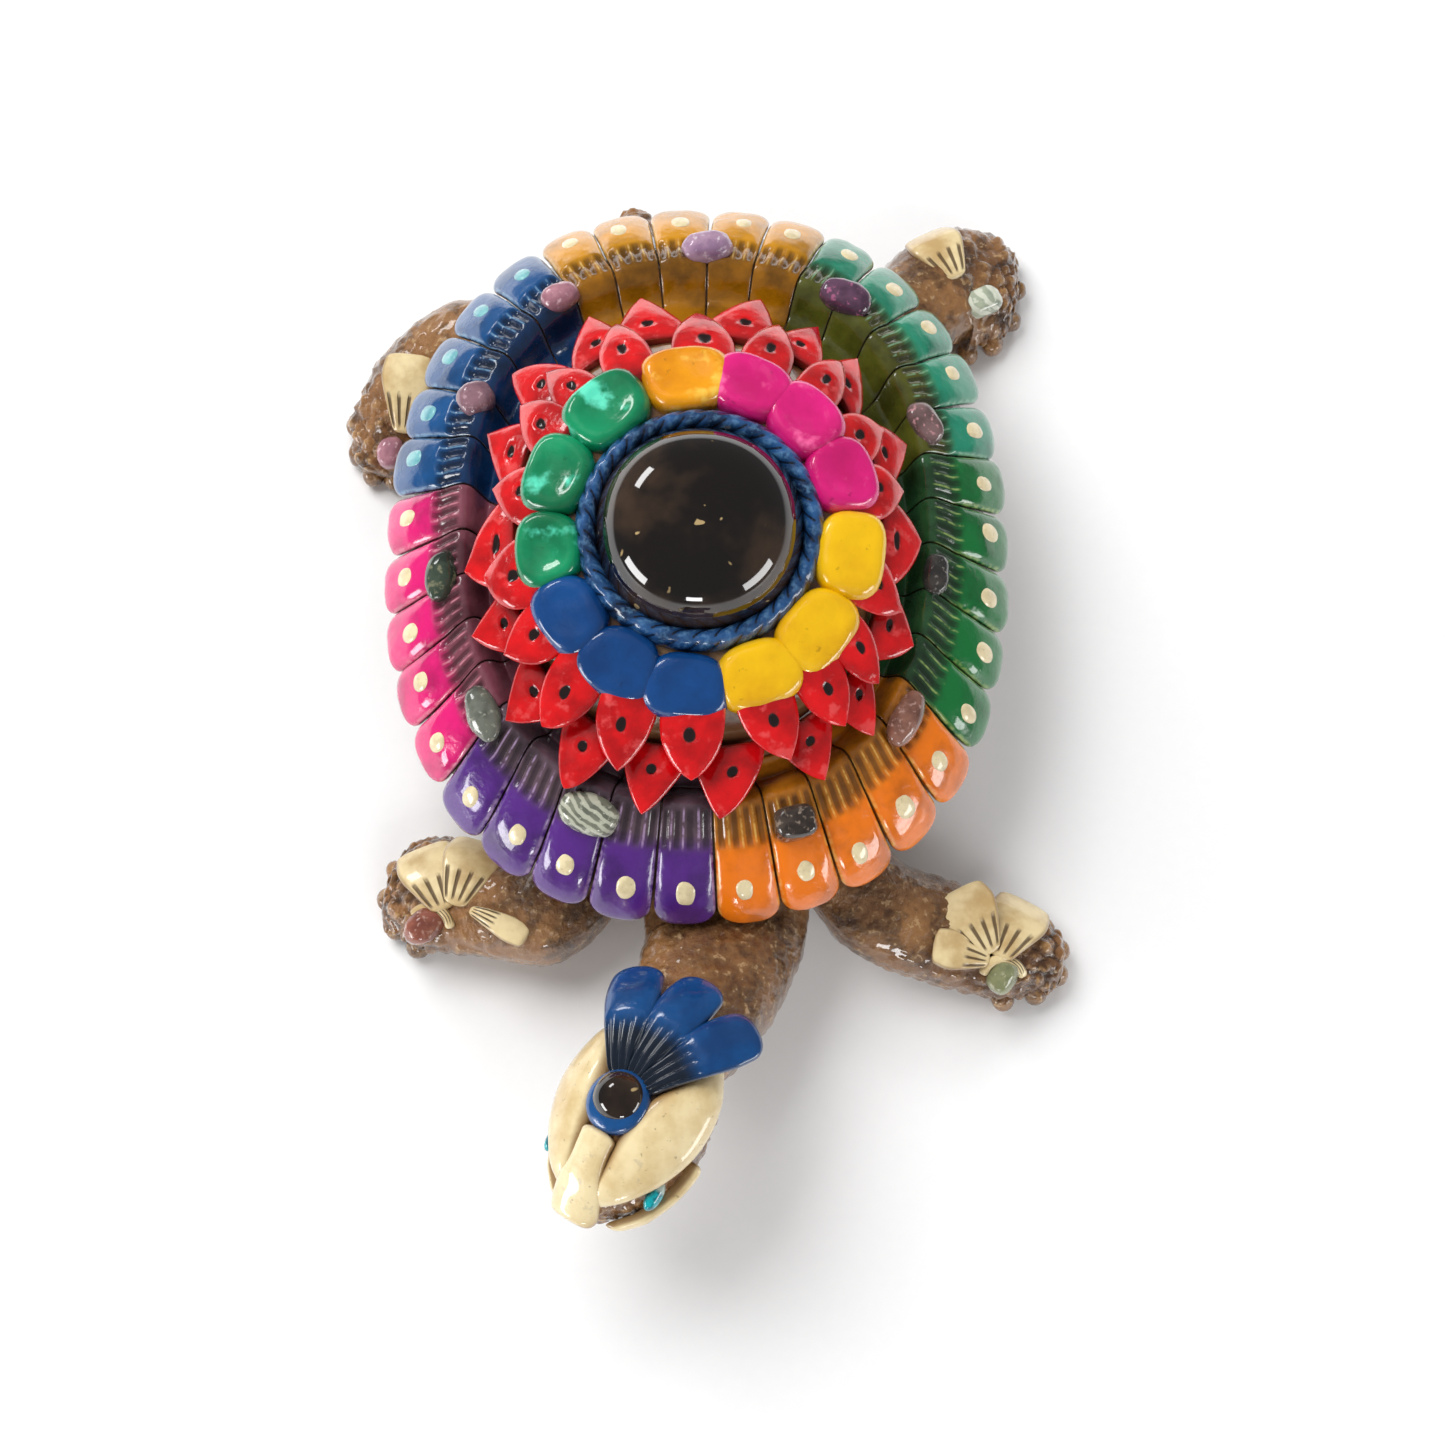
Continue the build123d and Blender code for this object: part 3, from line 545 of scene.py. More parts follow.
petals = {
    "count": 18,
    "outer": [(0.5, -3.5, 48.2, 55.8, 68.0), (-0.2, -3.5, 54.6, 65.4, 65.6), (-1, -3.5, 61.5, 75.5, 61.8)],
    "inner": [(1, -5, 39.5, 43.5, 78.6), (0.5, -4.8, 50.2, 57.4, 73.6), (0, -4.5, 56, 66.5, 69.0)],
    "height": 2.4,
    "full": 1.06,
    "lean": 0.085,
    "holeAt": 0.40,
    "holeAlong": 0.075,
    "holeAcross": 0.085,
    "holeDeep": 1.7,
}


def petal(rows, middle, pitch, seed):
    lean, reach = random.uniform(-0.4, 0.4), random.uniform(1.78, 2.14)
    half = pitch / 2 * petals["full"] * random.uniform(0.86, 1.08)
    twist = random.uniform(-0.9, 0.9)

    def surface(p, angle):
        return ovalPoint(rowAt(rows, p), angle)

    def shape(t, turn, point):
        c, s = math.cos(turn), math.sin(turn)
        u = signed(c, 0.8)
        wide = (1 - t) ** 1.16 * (1 + 1.25 * t) * min(1.0, math.sqrt(t / 0.07))
        angle = middle + half * (u * wide + lean * t * t)
        across = u * wide
        if s >= 0:
            body = max(0.0, 1 - abs(u) ** 2.6) ** 0.6 * (0.35 + 0.65 * min(1.0, wide)) * min(1.0, t / 0.05)
            aside = across / (2 * petals["holeAcross"])
            ahead = (t - petals["holeAt"]) / petals["holeAlong"]
            hole = 1 - smooth(0.55, 1.05, math.hypot(aside, ahead))
            lift = petals["height"] * body - petals["holeDeep"] * hole + twist * across
            lift += 0.25 * noise.noise(Vector((u * 1.6 + seed, t * 4, 0))) * body
        else:
            lift = -0.9 * abs(s) ** 0.6 * (1 - t) + twist * across
        spot, _ = lifted(surface, reach * t, angle, lift)
        spot.z += petals["lean"] * spot.y * (1 - t)
        return spot, across * 0.5 + 0.5, t

    return clayBall("petal", shape, segments=48, rings=44)


redGlaze = petalGlaze()
pitch = 360 / petals["count"]
for rowName, offset in (("outer", 0.5), ("inner", 0.0)):
    group = [petal(petals[rowName], 90 + pitch * (i + offset) + random.uniform(-2.2, 2.2), pitch, i * 2.3)
             for i in range(petals["count"])]
    place(joined(rowName + "Petals", group), rowName + "_petals", "red_glaze", redGlaze)
print("petals done")


crown = {
    "middle": Vector((1, -5, 78)),
    "lean": 5,
    "obsidianRadius": 27.4,
    "obsidianRise": 20.6,
    "ringMiddle": 30.0,
    "ringWide": 2.9,
    "ringRise": 5.6,
    "padRing": 39.8,
    "padThick": 5.6,
    # angle, half width along the ring, half width across it, colour
    "pads": [
        (95, 12.0, 9.9, "gold"), (70, 10.9, 9.5, "pink"), (46, 10.9, 9.5, "pink"), (21, 10.6, 9.5, "pink"),
        (-9, 12.2, 9.6, "yellow"), (-40, 11.8, 9.5, "yellow"), (-67, 11.6, 9.2, "yellow"),
        (-95, 11.6, 9.0, "blue"), (-121, 11.2, 9.4, "blue"), (-147, 11.0, 9.2, "blue"),
        (-173, 10.8, 9.2, "green"), (159, 11.4, 9.7, "green"), (128, 12.0, 10.0, "green"),
    ],
}
padColours = {
    # colour, shade, the thin places that shine lighter
    "gold": ((0.86, 0.34, 0.003), (0.62, 0.20, 0.002), (0.92, 0.58, 0.08)),
    "pink": ((0.74, 0.012, 0.21), (0.52, 0.006, 0.13), (0.90, 0.14, 0.36)),
    "yellow": ((0.86, 0.50, 0.002), (0.66, 0.32, 0.001), None),
    "blue": ((0.003, 0.060, 0.23), (0.002, 0.034, 0.14), None),
    "green": ((0.003, 0.27, 0.11), (0.002, 0.13, 0.05), (0.10, 0.70, 0.48)),
}
dished = {"gold": 1.5, "pink": 1.7, "green": 2.1, "yellow": 0.7, "blue": 0.9}
crownLean = Matrix.Rotation(math.radians(crown["lean"]), 3, "X")


def onCrown(x, y, z):
    return crown["middle"] + crownLean @ Vector((x, y, z))


def pad(angle, along, across, colour, seed):
    c, s = math.cos(math.radians(angle)), math.sin(math.radians(angle))
    tilt = Matrix.Rotation(math.radians(angle), 3, "Z") @ Matrix.Rotation(math.radians(14), 3, "Y")

    def shape(t, turn, point):
        square = (abs(math.cos(turn)) ** 2.7 + abs(math.sin(turn)) ** 2.7) ** (-1 / 2.7)
        flat = math.sin(math.pi * t) ** 0.5
        bulge = 1 + 0.07 * noise.noise(Vector((math.cos(turn) * 0.9 + seed, math.sin(turn) * 0.9, 0)))
        x = math.cos(turn) * square * flat * across * bulge
        y = math.sin(turn) * square * flat * along * bulge * (1 + 0.10 * x / across)
        z = signed(point.z, 0.8) * crown["padThick"]
        if point.z > 0:
            z -= dished[colour] * (1 - smooth(0.25, 0.86, flat))
        z += 0.35 * noise.noise(Vector((x * 0.18 + seed, y * 0.18, 3))) * max(0, point.z)
        local = tilt @ Vector((x, y, z))
        spot = onCrown(crown["padRing"] * c + local.x, crown["padRing"] * s * 1.05 + local.y, local.z - 0.8)
        return spot, point.x * 0.5 + 0.5, point.y * 0.5 + 0.5

    return clayBall("pad", shape, segments=40, rings=28)


for colour, tones in padColours.items():
    group = [pad(*row, i * 5.3) for i, row in enumerate(crown["pads"]) if row[3] == colour]
    place(joined(colour + "Pads", group), colour + "_pads", colour + "_glaze",
          clayGlaze(colour + "PadGlaze", *tones, scale=55, bumpSize=0.0012))


def ropeRing():
    # a plaited ring: strands that slant over a rounded band, worked on a torus
    clearSelection()
    bpy.ops.mesh.primitive_torus_add(major_segments=300, minor_segments=40, major_radius=1, minor_radius=0.3)
    piece = bpy.context.object
    laid = []
    for vertex in piece.data.vertices:
        x, y, z = vertex.co
        turn = math.atan2(y, x)
        out = math.hypot(x, y) - 1
        phi = math.atan2(z, out)
        strand = abs(math.sin(turn * 17 + 1.15 * math.sin(phi * 1.0 + 0.4) * 2.2))
        strand2 = abs(math.sin(turn * 17 - 1.9 * phi + 0.6))
        outer = smooth(0.9, 1.6, phi) if phi > 0 else 0.0
        plait = strand2 * (1 - outer) + strand * outer
        up = max(0.0, math.sin(phi))
        swell = 1 + 0.13 * (plait ** 0.7 - 0.6) * up ** 0.5
        radius = crown["ringMiddle"] + math.cos(phi) * crown["ringWide"] * swell
        height = signed(math.sin(phi), 0.85) * crown["ringRise"] * swell
        spot = onCrown(radius * math.cos(turn), radius * math.sin(turn), max(height, -0.8))
        vertex.co = home + spot * mm
        laid.append((plait, up))
    layUv(piece, laid)
    bpy.ops.object.shade_smooth()
    return joined("ropeRing", [piece])


def obsidianDome():
    def shape(t, turn, point):
        square = (abs(math.cos(turn)) ** 2.12 + abs(math.sin(turn)) ** 2.12) ** (-1 / 2.12)
        r = math.sin(math.pi * t) ** 0.9 * crown["obsidianRadius"] * square
        reach = math.sin(math.pi * t) ** 0.9
        z = crown["obsidianRise"] * math.sqrt(max(0.0, 1 - reach ** 2.7)) if t < 0.5 else -0.4
        return onCrown(r * math.cos(turn), r * math.sin(turn), z), point.x, point.y
    return clayBall("obsidianDome", shape, segments=96, rings=64)


place(ropeRing(), "rope_ring", "rope_glaze", ropeGlaze())
obsidian = obsidianPolish()
place(obsidianDome(), "obsidian_dome", "obsidian", obsidian)
print("crown done")


# colour, shade, light, stripes
stoneLooks = {
    "amethyst": ((0.40, 0.26, 0.36), (0.24, 0.14, 0.24), (0.66, 0.56, 0.62), 0),
    "plum_amethyst": ((0.12, 0.055, 0.10), (0.055, 0.025, 0.05), (0.42, 0.12, 0.24), 0),
    "rose_quartz": ((0.46, 0.22, 0.26), (0.30, 0.13, 0.17), (0.68, 0.46, 0.50), 0),
    "mauve_quartz": ((0.26, 0.14, 0.17), (0.14, 0.075, 0.10), (0.46, 0.30, 0.34), 0),
    "moss_agate": ((0.045, 0.065, 0.045), (0.015, 0.022, 0.016), (0.20, 0.20, 0.12), 0),
    "grey_jade": ((0.15, 0.16, 0.13), (0.07, 0.08, 0.065), (0.34, 0.34, 0.28), 0),
    "banded_agate": ((0.22, 0.23, 0.17), (0.12, 0.13, 0.10), (0.52, 0.53, 0.42), 190),
    "smoky_quartz": ((0.065, 0.048, 0.038), (0.022, 0.016, 0.014), (0.28, 0.22, 0.17), 0),
    "brown_jasper": ((0.26, 0.12, 0.085), (0.13, 0.055, 0.04), (0.44, 0.28, 0.24), 0),
    "pink_grey_agate": ((0.20, 0.12, 0.12), (0.10, 0.06, 0.06), (0.55, 0.28, 0.30), 0),
    "black_agate": ((0.055, 0.050, 0.045), (0.02, 0.018, 0.018), (0.26, 0.24, 0.22), 0),
    "green_agate": ((0.25, 0.26, 0.13), (0.14, 0.16, 0.08), (0.48, 0.48, 0.32), 0),
    "red_jasper": ((0.30, 0.10, 0.065), (0.17, 0.05, 0.035), (0.50, 0.30, 0.24), 0),
    "opal_stone": ((0.42, 0.46, 0.34), (0.28, 0.32, 0.25), (0.70, 0.72, 0.60), 120),
}
# turn of the long axis in degrees, how square it is, size against its seat
stones = {
    "amethyst_back_stone": (8, 2.3, 1.0), "plum_amethyst_stone": (-20, 2.5, 1.0),
    "rose_quartz_stone": (20, 2.2, 1.0), "mauve_quartz_stone": (25, 2.4, 1.0),
    "moss_agate_stone": (80, 2.2, 1.0), "grey_jade_stone": (-72, 2.2, 1.0),
    "banded_agate_stone": (-18, 2.5, 1.0), "smoky_quartz_stone": (14, 3.4, 1.0),
    "brown_jasper_stone": (66, 2.4, 1.0), "pink_grey_agate_stone": (-60, 2.3, 1.0),
    "black_agate_stone": (84, 2.3, 1.0), "front_left_foot_stone": (60, 2.2, 1.0),
    "front_right_foot_stone": (40, 2.2, 1.0), "rear_left_foot_stone": (25, 2.6, 1.0),
    "rear_right_foot_stone": (75, 2.2, 1.0),
}


def tumbled(node, turn, square, seed):
    low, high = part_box(node)
    middle = ((low + high) / 2 - home) / mm
    half = (high - low) / 2 / mm
    spin = Matrix.Rotation(math.radians(turn), 3, "Z")
    c, s = abs(math.cos(math.radians(turn))), abs(math.sin(math.radians(turn)))
    # the box of a turned oval: x2 = (long c)2 + (wide s)2
    spread = c ** 4 - s ** 4
    if abs(spread) < 0.2:
        long, wide = half.x * 1.15, half.y * 0.85
    else:
        long = math.sqrt(max((half.x ** 2 * c ** 2 - half.y ** 2 * s ** 2) / spread, 4))
        wide = math.sqrt(max((half.y ** 2 * c ** 2 - half.x ** 2 * s ** 2) / spread, 4))

    def shape(t, turnAt, point):
        reach = (abs(point.x) ** square + abs(point.y) ** square + abs(point.z) ** square) ** (-1 / square)
        knock = 1 + 0.10 * noise.noise(point * 1.1 + Vector((seed, seed * 0.3, 0)))
        knock += 0.035 * noise.noise(point * 3.2 + Vector((0, seed, 0)))
        body = point * (reach * knock)
        local = spin @ Vector((body.x * long, body.y * wide, 0))
        local.z = body.z * half.z * 1.02
        return middle + local, point.x, point.y

    return clayBall(node.replace("_stone", "Stone").replace("_", ""), shape, segments=40, rings=28)


def slotOf(node):
    return next(s["material_slot"] for s in frame["record"]["subparts"] if s["node"] == node)


stonePolishes = {slot: stonePolish(slot + "Polish", *look[:3], stripes=look[3])
                 for slot, look in stoneLooks.items()}
for i, (node, (turn, square, _)) in enumerate(stones.items()):
    slot = slotOf(node)
    place(tumbled(node, turn, square, i * 4.7), node, slot, stonePolishes[slot])
print("stones done")


legs = {
    # centre line x, y, z, then half width and half height
    "front_left": [(34, -76, 19, 13, 12), (50, -92, 16, 15, 12.5), (66, -98, 12, 15, 12.2),
                   (84, -103, 8.5, 13.5, 9.5), (98, -105, 5.5, 9, 7), (101.5, -105.5, 4.8, 5.4, 4.2)],
    "front_right": [(-30, -76, 19, 13, 12), (-40, -93, 16, 15, 12.5), (-56, -92, 12, 14, 12.2),
                    (-72, -87, 8.5, 16, 9.5), (-83, -84, 5.5, 13, 7), (-86.3, -83, 4.8, 7.8, 4.2)],
    "rear_left": [(46, 66, 19, 13, 12), (60, 84, 16, 15, 12.5), (71, 97, 12, 18, 12.2),
                  (82, 100, 8.5, 20, 9.5), (92, 98, 5.5, 14, 7), (95.4, 97.3, 4.8, 8.4, 4.2)],
    "rear_right": [(-48, 68, 19, 13, 12), (-66, 78, 16, 15, 12.5), (-80, 72, 12, 14, 12.2),
                   (-90, 58, 8.5, 12.5, 9.5), (-93, 44, 5.5, 9, 7), (-93.7, 40.6, 4.8, 5.4, 4.2)],
}
neckRows = [(8, -78, 21, 25, 12), (8, -98, 23, 23, 12.5), (3, -118, 31, 20, 14), (-6, -136, 40, 16, 14),
            (-10, -144, 43, 10, 9)]
tailRows = [(-14, 86, 20, 13, 9), (-17, 104, 18, 10, 7.5), (-19.5, 119, 14, 6, 4.5), (-20, 121, 13, 4, 3)]
skin = {"scale": 3.8, "rise": 1.25, "pebble": 5.6, "pebbleRise": 1.6}


def limbSurface(rows):
    # p in rows along the limb, q in degrees round it, 0 at the top and 90 on its left
    def surface(p, q):
        x, y, z, wide, tall = rowAt(rows, p)
        ahead = Vector(rowAt(rows, p + 0.05)[:3]) - Vector(rowAt(rows, p - 0.05)[:3])
        side = Vector((0, 0, 1)).cross(ahead).normalized()
        up = ahead.cross(side).normalized()
        c, s = math.cos(math.radians(q)), math.sin(math.radians(q))
        return Vector((x, y, z)) + side * (s * wide) + up * (c * tall)
    return surface


def pebbles(spot, size):
    near = noise.voronoi(spot / size)[0]
    return 1 - smooth(0.35, 1.0, near[0] / max(near[1], 1e-6))


def limb(name, rows, scaly, segments=96, rings=90, sole=True):
    surface = limbSurface(rows)
    last = len(rows) - 1

    def shape(t, turn, point):
        end = max(0.0, (t - 0.93) / 0.07)
        start = max(0.0, (0.03 - t) / 0.03)
        tight = math.sqrt(max(0.0, 1 - end ** 2)) * math.sqrt(max(0.0, 1 - start ** 2))
        p = last * min(t / 0.97, 1.0)
        x, y, z, wide, tall = rowAt(rows, p)
        centre = Vector((x, y, z))
        q = math.degrees(turn)
        spot = centre + (surface(p, q) - centre) * tight
        out = (surface(p, q) - centre).normalized()
        amount = scaly * smooth(0.25, 0.75, t)
        scales, nodules = pebbles(spot, skin["scale"]), pebbles(spot + Vector((9, 4, 2)), skin["pebble"])
        rise = skin["rise"] * scales * (0.3 + 0.7 * amount) + skin["pebbleRise"] * nodules * amount * 0.6
        rise += 0.9 * noise.noise(spot * 0.09)
        spot = spot + out * (rise * tight - 0.8)
        if sole:
            spot.z = max(spot.z, 0.0)
        # across carries the rise, which the skin glaze paints as a bronze highlight
        return spot, 0.55 * (1 - amount) + amount * (0.65 * scales + 0.35 * nodules), t

    return clayBall(name, shape, segments=segments, rings=rings)


def islands(node):
    # the separate solids of a CAD node, as low and high corners
    copy = bmesh.new()
    copy.from_mesh(frame["nodes"][node].data)
    bmesh.ops.remove_doubles(copy, verts=copy.verts, dist=1e-6)
    left, found = set(copy.verts), []
    while left:
        heap, group = [left.pop()], []
        while heap:
            vertex = heap.pop()
            group.append(vertex.co.copy())
            for edge in vertex.link_edges:
                other = edge.other_vert(vertex)
                if other in left:
                    left.remove(other)
                    heap.append(other)
        found.append((Vector(map(min, zip(*group))), Vector(map(max, zip(*group)))))
    copy.free()
    return sorted(found, key=lambda box: tuple(box[0]))


def toe(low, high, seed):
    middle, half = ((low + high) / 2 - home) / mm, (high - low) / 2 / mm

    def shape(t, turn, point):
        knock = 1 + 0.16 * noise.noise(point * 1.2 + Vector((seed, 0, 0)))
        body = Vector((point.x * half.x, point.y * half.y, point.z * half.z)) * knock
        spot = middle + body
        spot.z = max(spot.z, 0.0)
        return spot, 0.5 + 0.3 * point.z, 0.5

    return clayBall("toe", shape, segments=20, rings=14)


skinGlazed = skinGlaze()
for name, rows in legs.items():
    place(limb(name.replace("_", "") + "Leg", rows, 1.0), name + "_leg", "brown_glaze", skinGlazed)
    group = [toe(low, high, i * 2.9) for i, (low, high) in enumerate(islands(name + "_toes"))]
    place(joined(name.replace("_", "") + "Toes", group), name + "_toes", "brown_glaze", skinGlazed)
place(limb("neck", neckRows, 0.15, sole=False), "neck", "brown_glaze", skinGlazed)
place(limb("tail", tailRows, 0.4, 48, 40, sole=False), "tail", "brown_glaze", skinGlazed)
print("limbs done")


def tongue(name, rows, segments=40, rings=36, square=0.8, blunt=0.10, carve=None, up=None):
    # rows of x, y, z, half width, half thickness; the underside is flatter than the top
    last = len(rows) - 1

    def shape(t, turn, point):
        c, s = math.cos(turn), math.sin(turn)
        ends = min(1.0, t / blunt, (1 - t) / blunt)
        wide = math.sqrt(max(0.0, 1 - (1 - ends) ** 2))
        p = last * t
        x, y, z, half, thick = rowAt(rows, p)
        ahead = Vector(rowAt(rows, min(p + 0.05, last))[:3]) - Vector(rowAt(rows, max(p - 0.05, 0))[:3])
        rise = Vector(up(p)) if up else Vector((0, 0, 1))
        side = rise.cross(ahead).normalized()
        out = ahead.cross(side).normalized()
        u = signed(c, square)
        lift = signed(s, 0.75) * thick * (1.0 if s > 0 else 0.7) * wide
        if carve and s > 0:
            lift += carve(t, u)
        return Vector((x, y, z)) + side * (u * half * wide) + out * lift, u * 0.5 + 0.5, t

    return clayBall(name, shape, segments=segments, rings=rings)


def legSkin(name, x, y):
    # height of a leg's upper skin over a point in plan
    rows, best = legs[name], None
    for a, b in zip(rows, rows[1:]):
        run, to = Vector((b[0] - a[0], b[1] - a[1])), Vector((x - a[0], y - a[1]))
        share = min(max(to.dot(run) / run.length_squared, 0), 1)
        off = (run * share - to).length
        z, wide, tall = [p + (q - p) * share for p, q in zip(a[2:], b[2:])]
        if best is None or off < best[0]:
            best = (off, z + tall * math.sqrt(max(1 - (off / wide) ** 2, 0.03)))
    return best[1]


cuffs = {
    # lobes: root x, y, direction in degrees, length, half width
    "front_left": [(81, -108, 168, 17, 5.6), (81, -107, 118, 21, 8.4), (82, -108, 62, 21, 8.6)],
    "front_right": [(-69, -95, 112, 22, 8.8), (-67, -94, 72, 22, 8.4), (-63, -94, -28, 19, 3.6)],
    "rear_left": [(77, 96, 116, 21, 8.2)],
    "rear_right": [(-87, 49, 84, 23, 7.6)],
    # collars round the foot stones: middle x, y, radius, from and to in degrees
    "collars": {"front_left": (84.0, -113.5, 6.2, 20, 160), "front_right": (-74.5, -99.5, 6.8, 5, 130)},
    "collarThick": 1.5,
    "lift": 1.3,
    "thick": 1.7,
    "strokes": 4,
}


def cuffLobe(name, root, angle, length, half):
    c, s = math.cos(math.radians(angle)), math.sin(math.radians(angle))
    rows = []
    for reach, share, thick in ((1.0, 0.35, 0.6), (0.35 * length, 0.7, 1.0), (0.7 * length, 1.0, 1.0),
                                (length, 0.85, 0.7)):
        x, y = root[0] + c * reach, root[1] + s * reach
        rows.append((x, y, legSkin(name, x, y) + cuffs["lift"], half * share, cuffs["thick"] * thick))

    def carve(t, u):
        stroke = smooth(0.5, 0.95, 0.5 - 0.5 * math.cos((u + 1) * math.pi * cuffs["strokes"]))
        return -0.45 * stroke * smooth(0.06, 0.16, t) * (1 - smooth(0.38, 0.48, t)) * (1 - abs(u) ** 6)

    return tongue("cuffLobe", rows, segments=48, rings=40, carve=carve)


def collar(name, x, y, radius, first, last):
    rows = []
    for i in range(6):
        angle = math.radians(first + (last - first) * i / 5)
        px, py = x + radius * math.cos(angle), y + radius * math.sin(angle)
        rows.append((px, py, legSkin(name, px, py) + 0.8, cuffs["collarThick"], cuffs["collarThick"]))
    return tongue("collar", rows, segments=20, rings=40)


cuffed = cuffGlaze()
for name in legs:
    group = [cuffLobe(name, lobe[:2], *lobe[2:]) for lobe in cuffs[name]]
    if name in cuffs["collars"]:
        group.append(collar(name, *cuffs["collars"][name]))
    place(joined(name.replace("_", "") + "Cuff", group), name + "_cuff", "cream_glaze", cuffed)
print("cuffs done")


head = {
    "brow": Vector((-19.5, -152.5, 61.0)),
    "turn": 238,
    "roll": 20,
    # distance ahead of the brow, height below it, half width, half height
    "skull": [(-25, -15, 12, 9), (-14, -15, 18.5, 13.5), (0, -15, 20.5, 14.5), (12, -16, 18.0, 12.8),
              (21, -17.5, 13.5, 10.2), (28, -18.5, 7.5, 7.0)],
    "bezelRadius": 8.6,
    "bezelRise": 5.4,
    "crestAngles": [-29, 0, 29],
    "crestLength": 39.0,
}
headTurn = Matrix.Rotation(math.radians(head["turn"]), 3, "Z")
headTurn = headTurn @ Matrix.Rotation(math.radians(head["roll"]), 3, "X")


def onHead(x, y, z):
    return head["brow"] + headTurn @ Vector((x, y, z))


def skullRow(ahead):
    rows = head["skull"]
    i = 0
    while i < len(rows) - 2 and ahead > rows[i + 1][0]:
        i += 1
    return rowAt(rows, i + (ahead - rows[i][0]) / (rows[i + 1][0] - rows[i][0]))


def skullSurface(ahead, degrees):
    _, height, wide, tall = skullRow(ahead)
    c, s = math.cos(math.radians(degrees)), math.sin(math.radians(degrees))
    return onHead(ahead, s * wide, height + c * tall)


def skull():
    rows = head["skull"]

    def shape(t, turn, point):
        ahead = rows[0][0] + (rows[-1][0] - rows[0][0]) * (0.5 - 0.5 * math.cos(math.pi * t))
        _, height, wide, tall = skullRow(ahead)
        tight = math.sin(math.pi * t) ** 0.35
        local = Vector((ahead, math.sin(turn) * wide * tight, height + math.cos(turn) * tall * tight))
        spot = onHead(*local)
        out = (spot - onHead(ahead, 0, height)).normalized()
        scales = pebbles(spot, 3.0)
        spot += out * (0.7 * scales + 0.5 * noise.noise(spot * 0.12) - 0.6)
        # across carries the rise, which the skin glaze paints as a bronze highlight
        return spot, 0.2 + 0.8 * scales, t

    return clayBall("head", shape, segments=96, rings=72)


def headPlate(name, rows, side, height, blunt=0.14, segments=56, rings=48):
    # a leaf on the skull: rows of distance ahead, degrees from the top, half width in degrees
    last = len(rows) - 1

    def shape(t, turn, point):
        c, s = math.cos(turn), math.sin(turn)
        ahead, degrees, half = rowAt(rows, last * t)
        ends = min(1.0, t / 0.10, (1 - t) / blunt)
        wide = math.sqrt(max(0.0, 1 - (1 - ends) ** 2))
        u = signed(c, 0.8)
        q = side * degrees + u * half * wide
        body = max(0.0, 1 - abs(u) ** 2.8) ** 0.5 * wide
        lift = height * body + 0.2 if s >= 0 else -1.2 * abs(s) ** 0.5 * wide
        base = skullSurface(ahead, q)
        axis = onHead(ahead, 0, skullRow(ahead)[1])
        out = (base - axis).normalized()
        return base + out * lift, u * 0.5 + 0.5, t

    return clayBall(name, shape, segments=segments, rings=rings)


plates = {
    "brow": [(-24, 66, 7), (-17, 60, 17), (-6, 52, 29), (6, 45, 30), (16, 38, 23), (25, 26, 13)],
    "ridge": [(8.0, 0, 15), (13, 0, 15), (19, 0, 20), (24, 0, 36), (28, 0, 56), (31, 0, 70)],
    "jaw": [(2, 88, 5), (8, 96, 8), (16, 98, 10), (23, 92, 13), (27, 84, 10)],
}


def lump(name, middle, axes, half, power=1.0, knock=0.0, segments=32, rings=20, seed=0.0):
    def shape(t, turn, point):
        body = 1 + knock * noise.noise(point * 1.3 + Vector((seed, 0, 0)))
        spot = middle.copy()
        for axis, size, value in zip(axes, half, point):
            spot += axis * (signed(value, power) * size * body)
        return spot, point.x * 0.5 + 0.5, point.z * 0.5 + 0.5
    return clayBall(name, shape, segments=segments, rings=rings)


def crestFeather(angle):
    c, s = -math.cos(math.radians(angle)), -math.sin(math.radians(angle))
    rows = []
    for reach, height, half, thick in ((6.5, -0.6, 3.3, 1.7), (14, -0.4, 4.7, 2.0), (23, -1.8, 6.6, 2.1),
                                       (31, -4.6, 7.6, 2.3), (head["crestLength"], -8.4, 6.6, 1.8)):
        rows.append((*onHead(c * reach, s * reach, height), half, thick))

    def carve(t, u):
        groove = smooth(0.35, 0.95, 0.5 - 0.5 * math.cos((u + 1) * math.pi * comb["loops"]))
        band = smooth(0.03, 0.08, t) * (1 - smooth(0.44, 0.50, t))
        return -0.8 * groove * band * (1 - abs(u) ** 8) + 0.5 * smooth(0.46, 0.54, t) * (1 - abs(u) ** 3)

    return tongue("crestFeather", rows, segments=64, rings=56, blunt=0.14, carve=carve,
                  up=lambda p: headTurn @ Vector((0, 0, 1)))


def crestGlaze():
    paint = Paint("crestGlaze")
    across, along = paint.laid()
    fine, coarse = paint.cloud(420), paint.cloud(90)
    colour = paint.mix(coarse.between(0.35, 0.7), (0.002, 0.062, 0.215), (0.001, 0.036, 0.14))
    colour = paint.mix(1 - (along + (fine - 0.5) * 0.05).between(0.34, 0.54), colour, (0.004, 0.010, 0.022))
    side = abs(across - 0.5) * 2
    colour = paint.mix(side.between(0.9, 1.0) * 0.5, colour, (0.006, 0.03, 0.08))
    return varnished(paint, colour, 0.22, coarse, 0.0008)


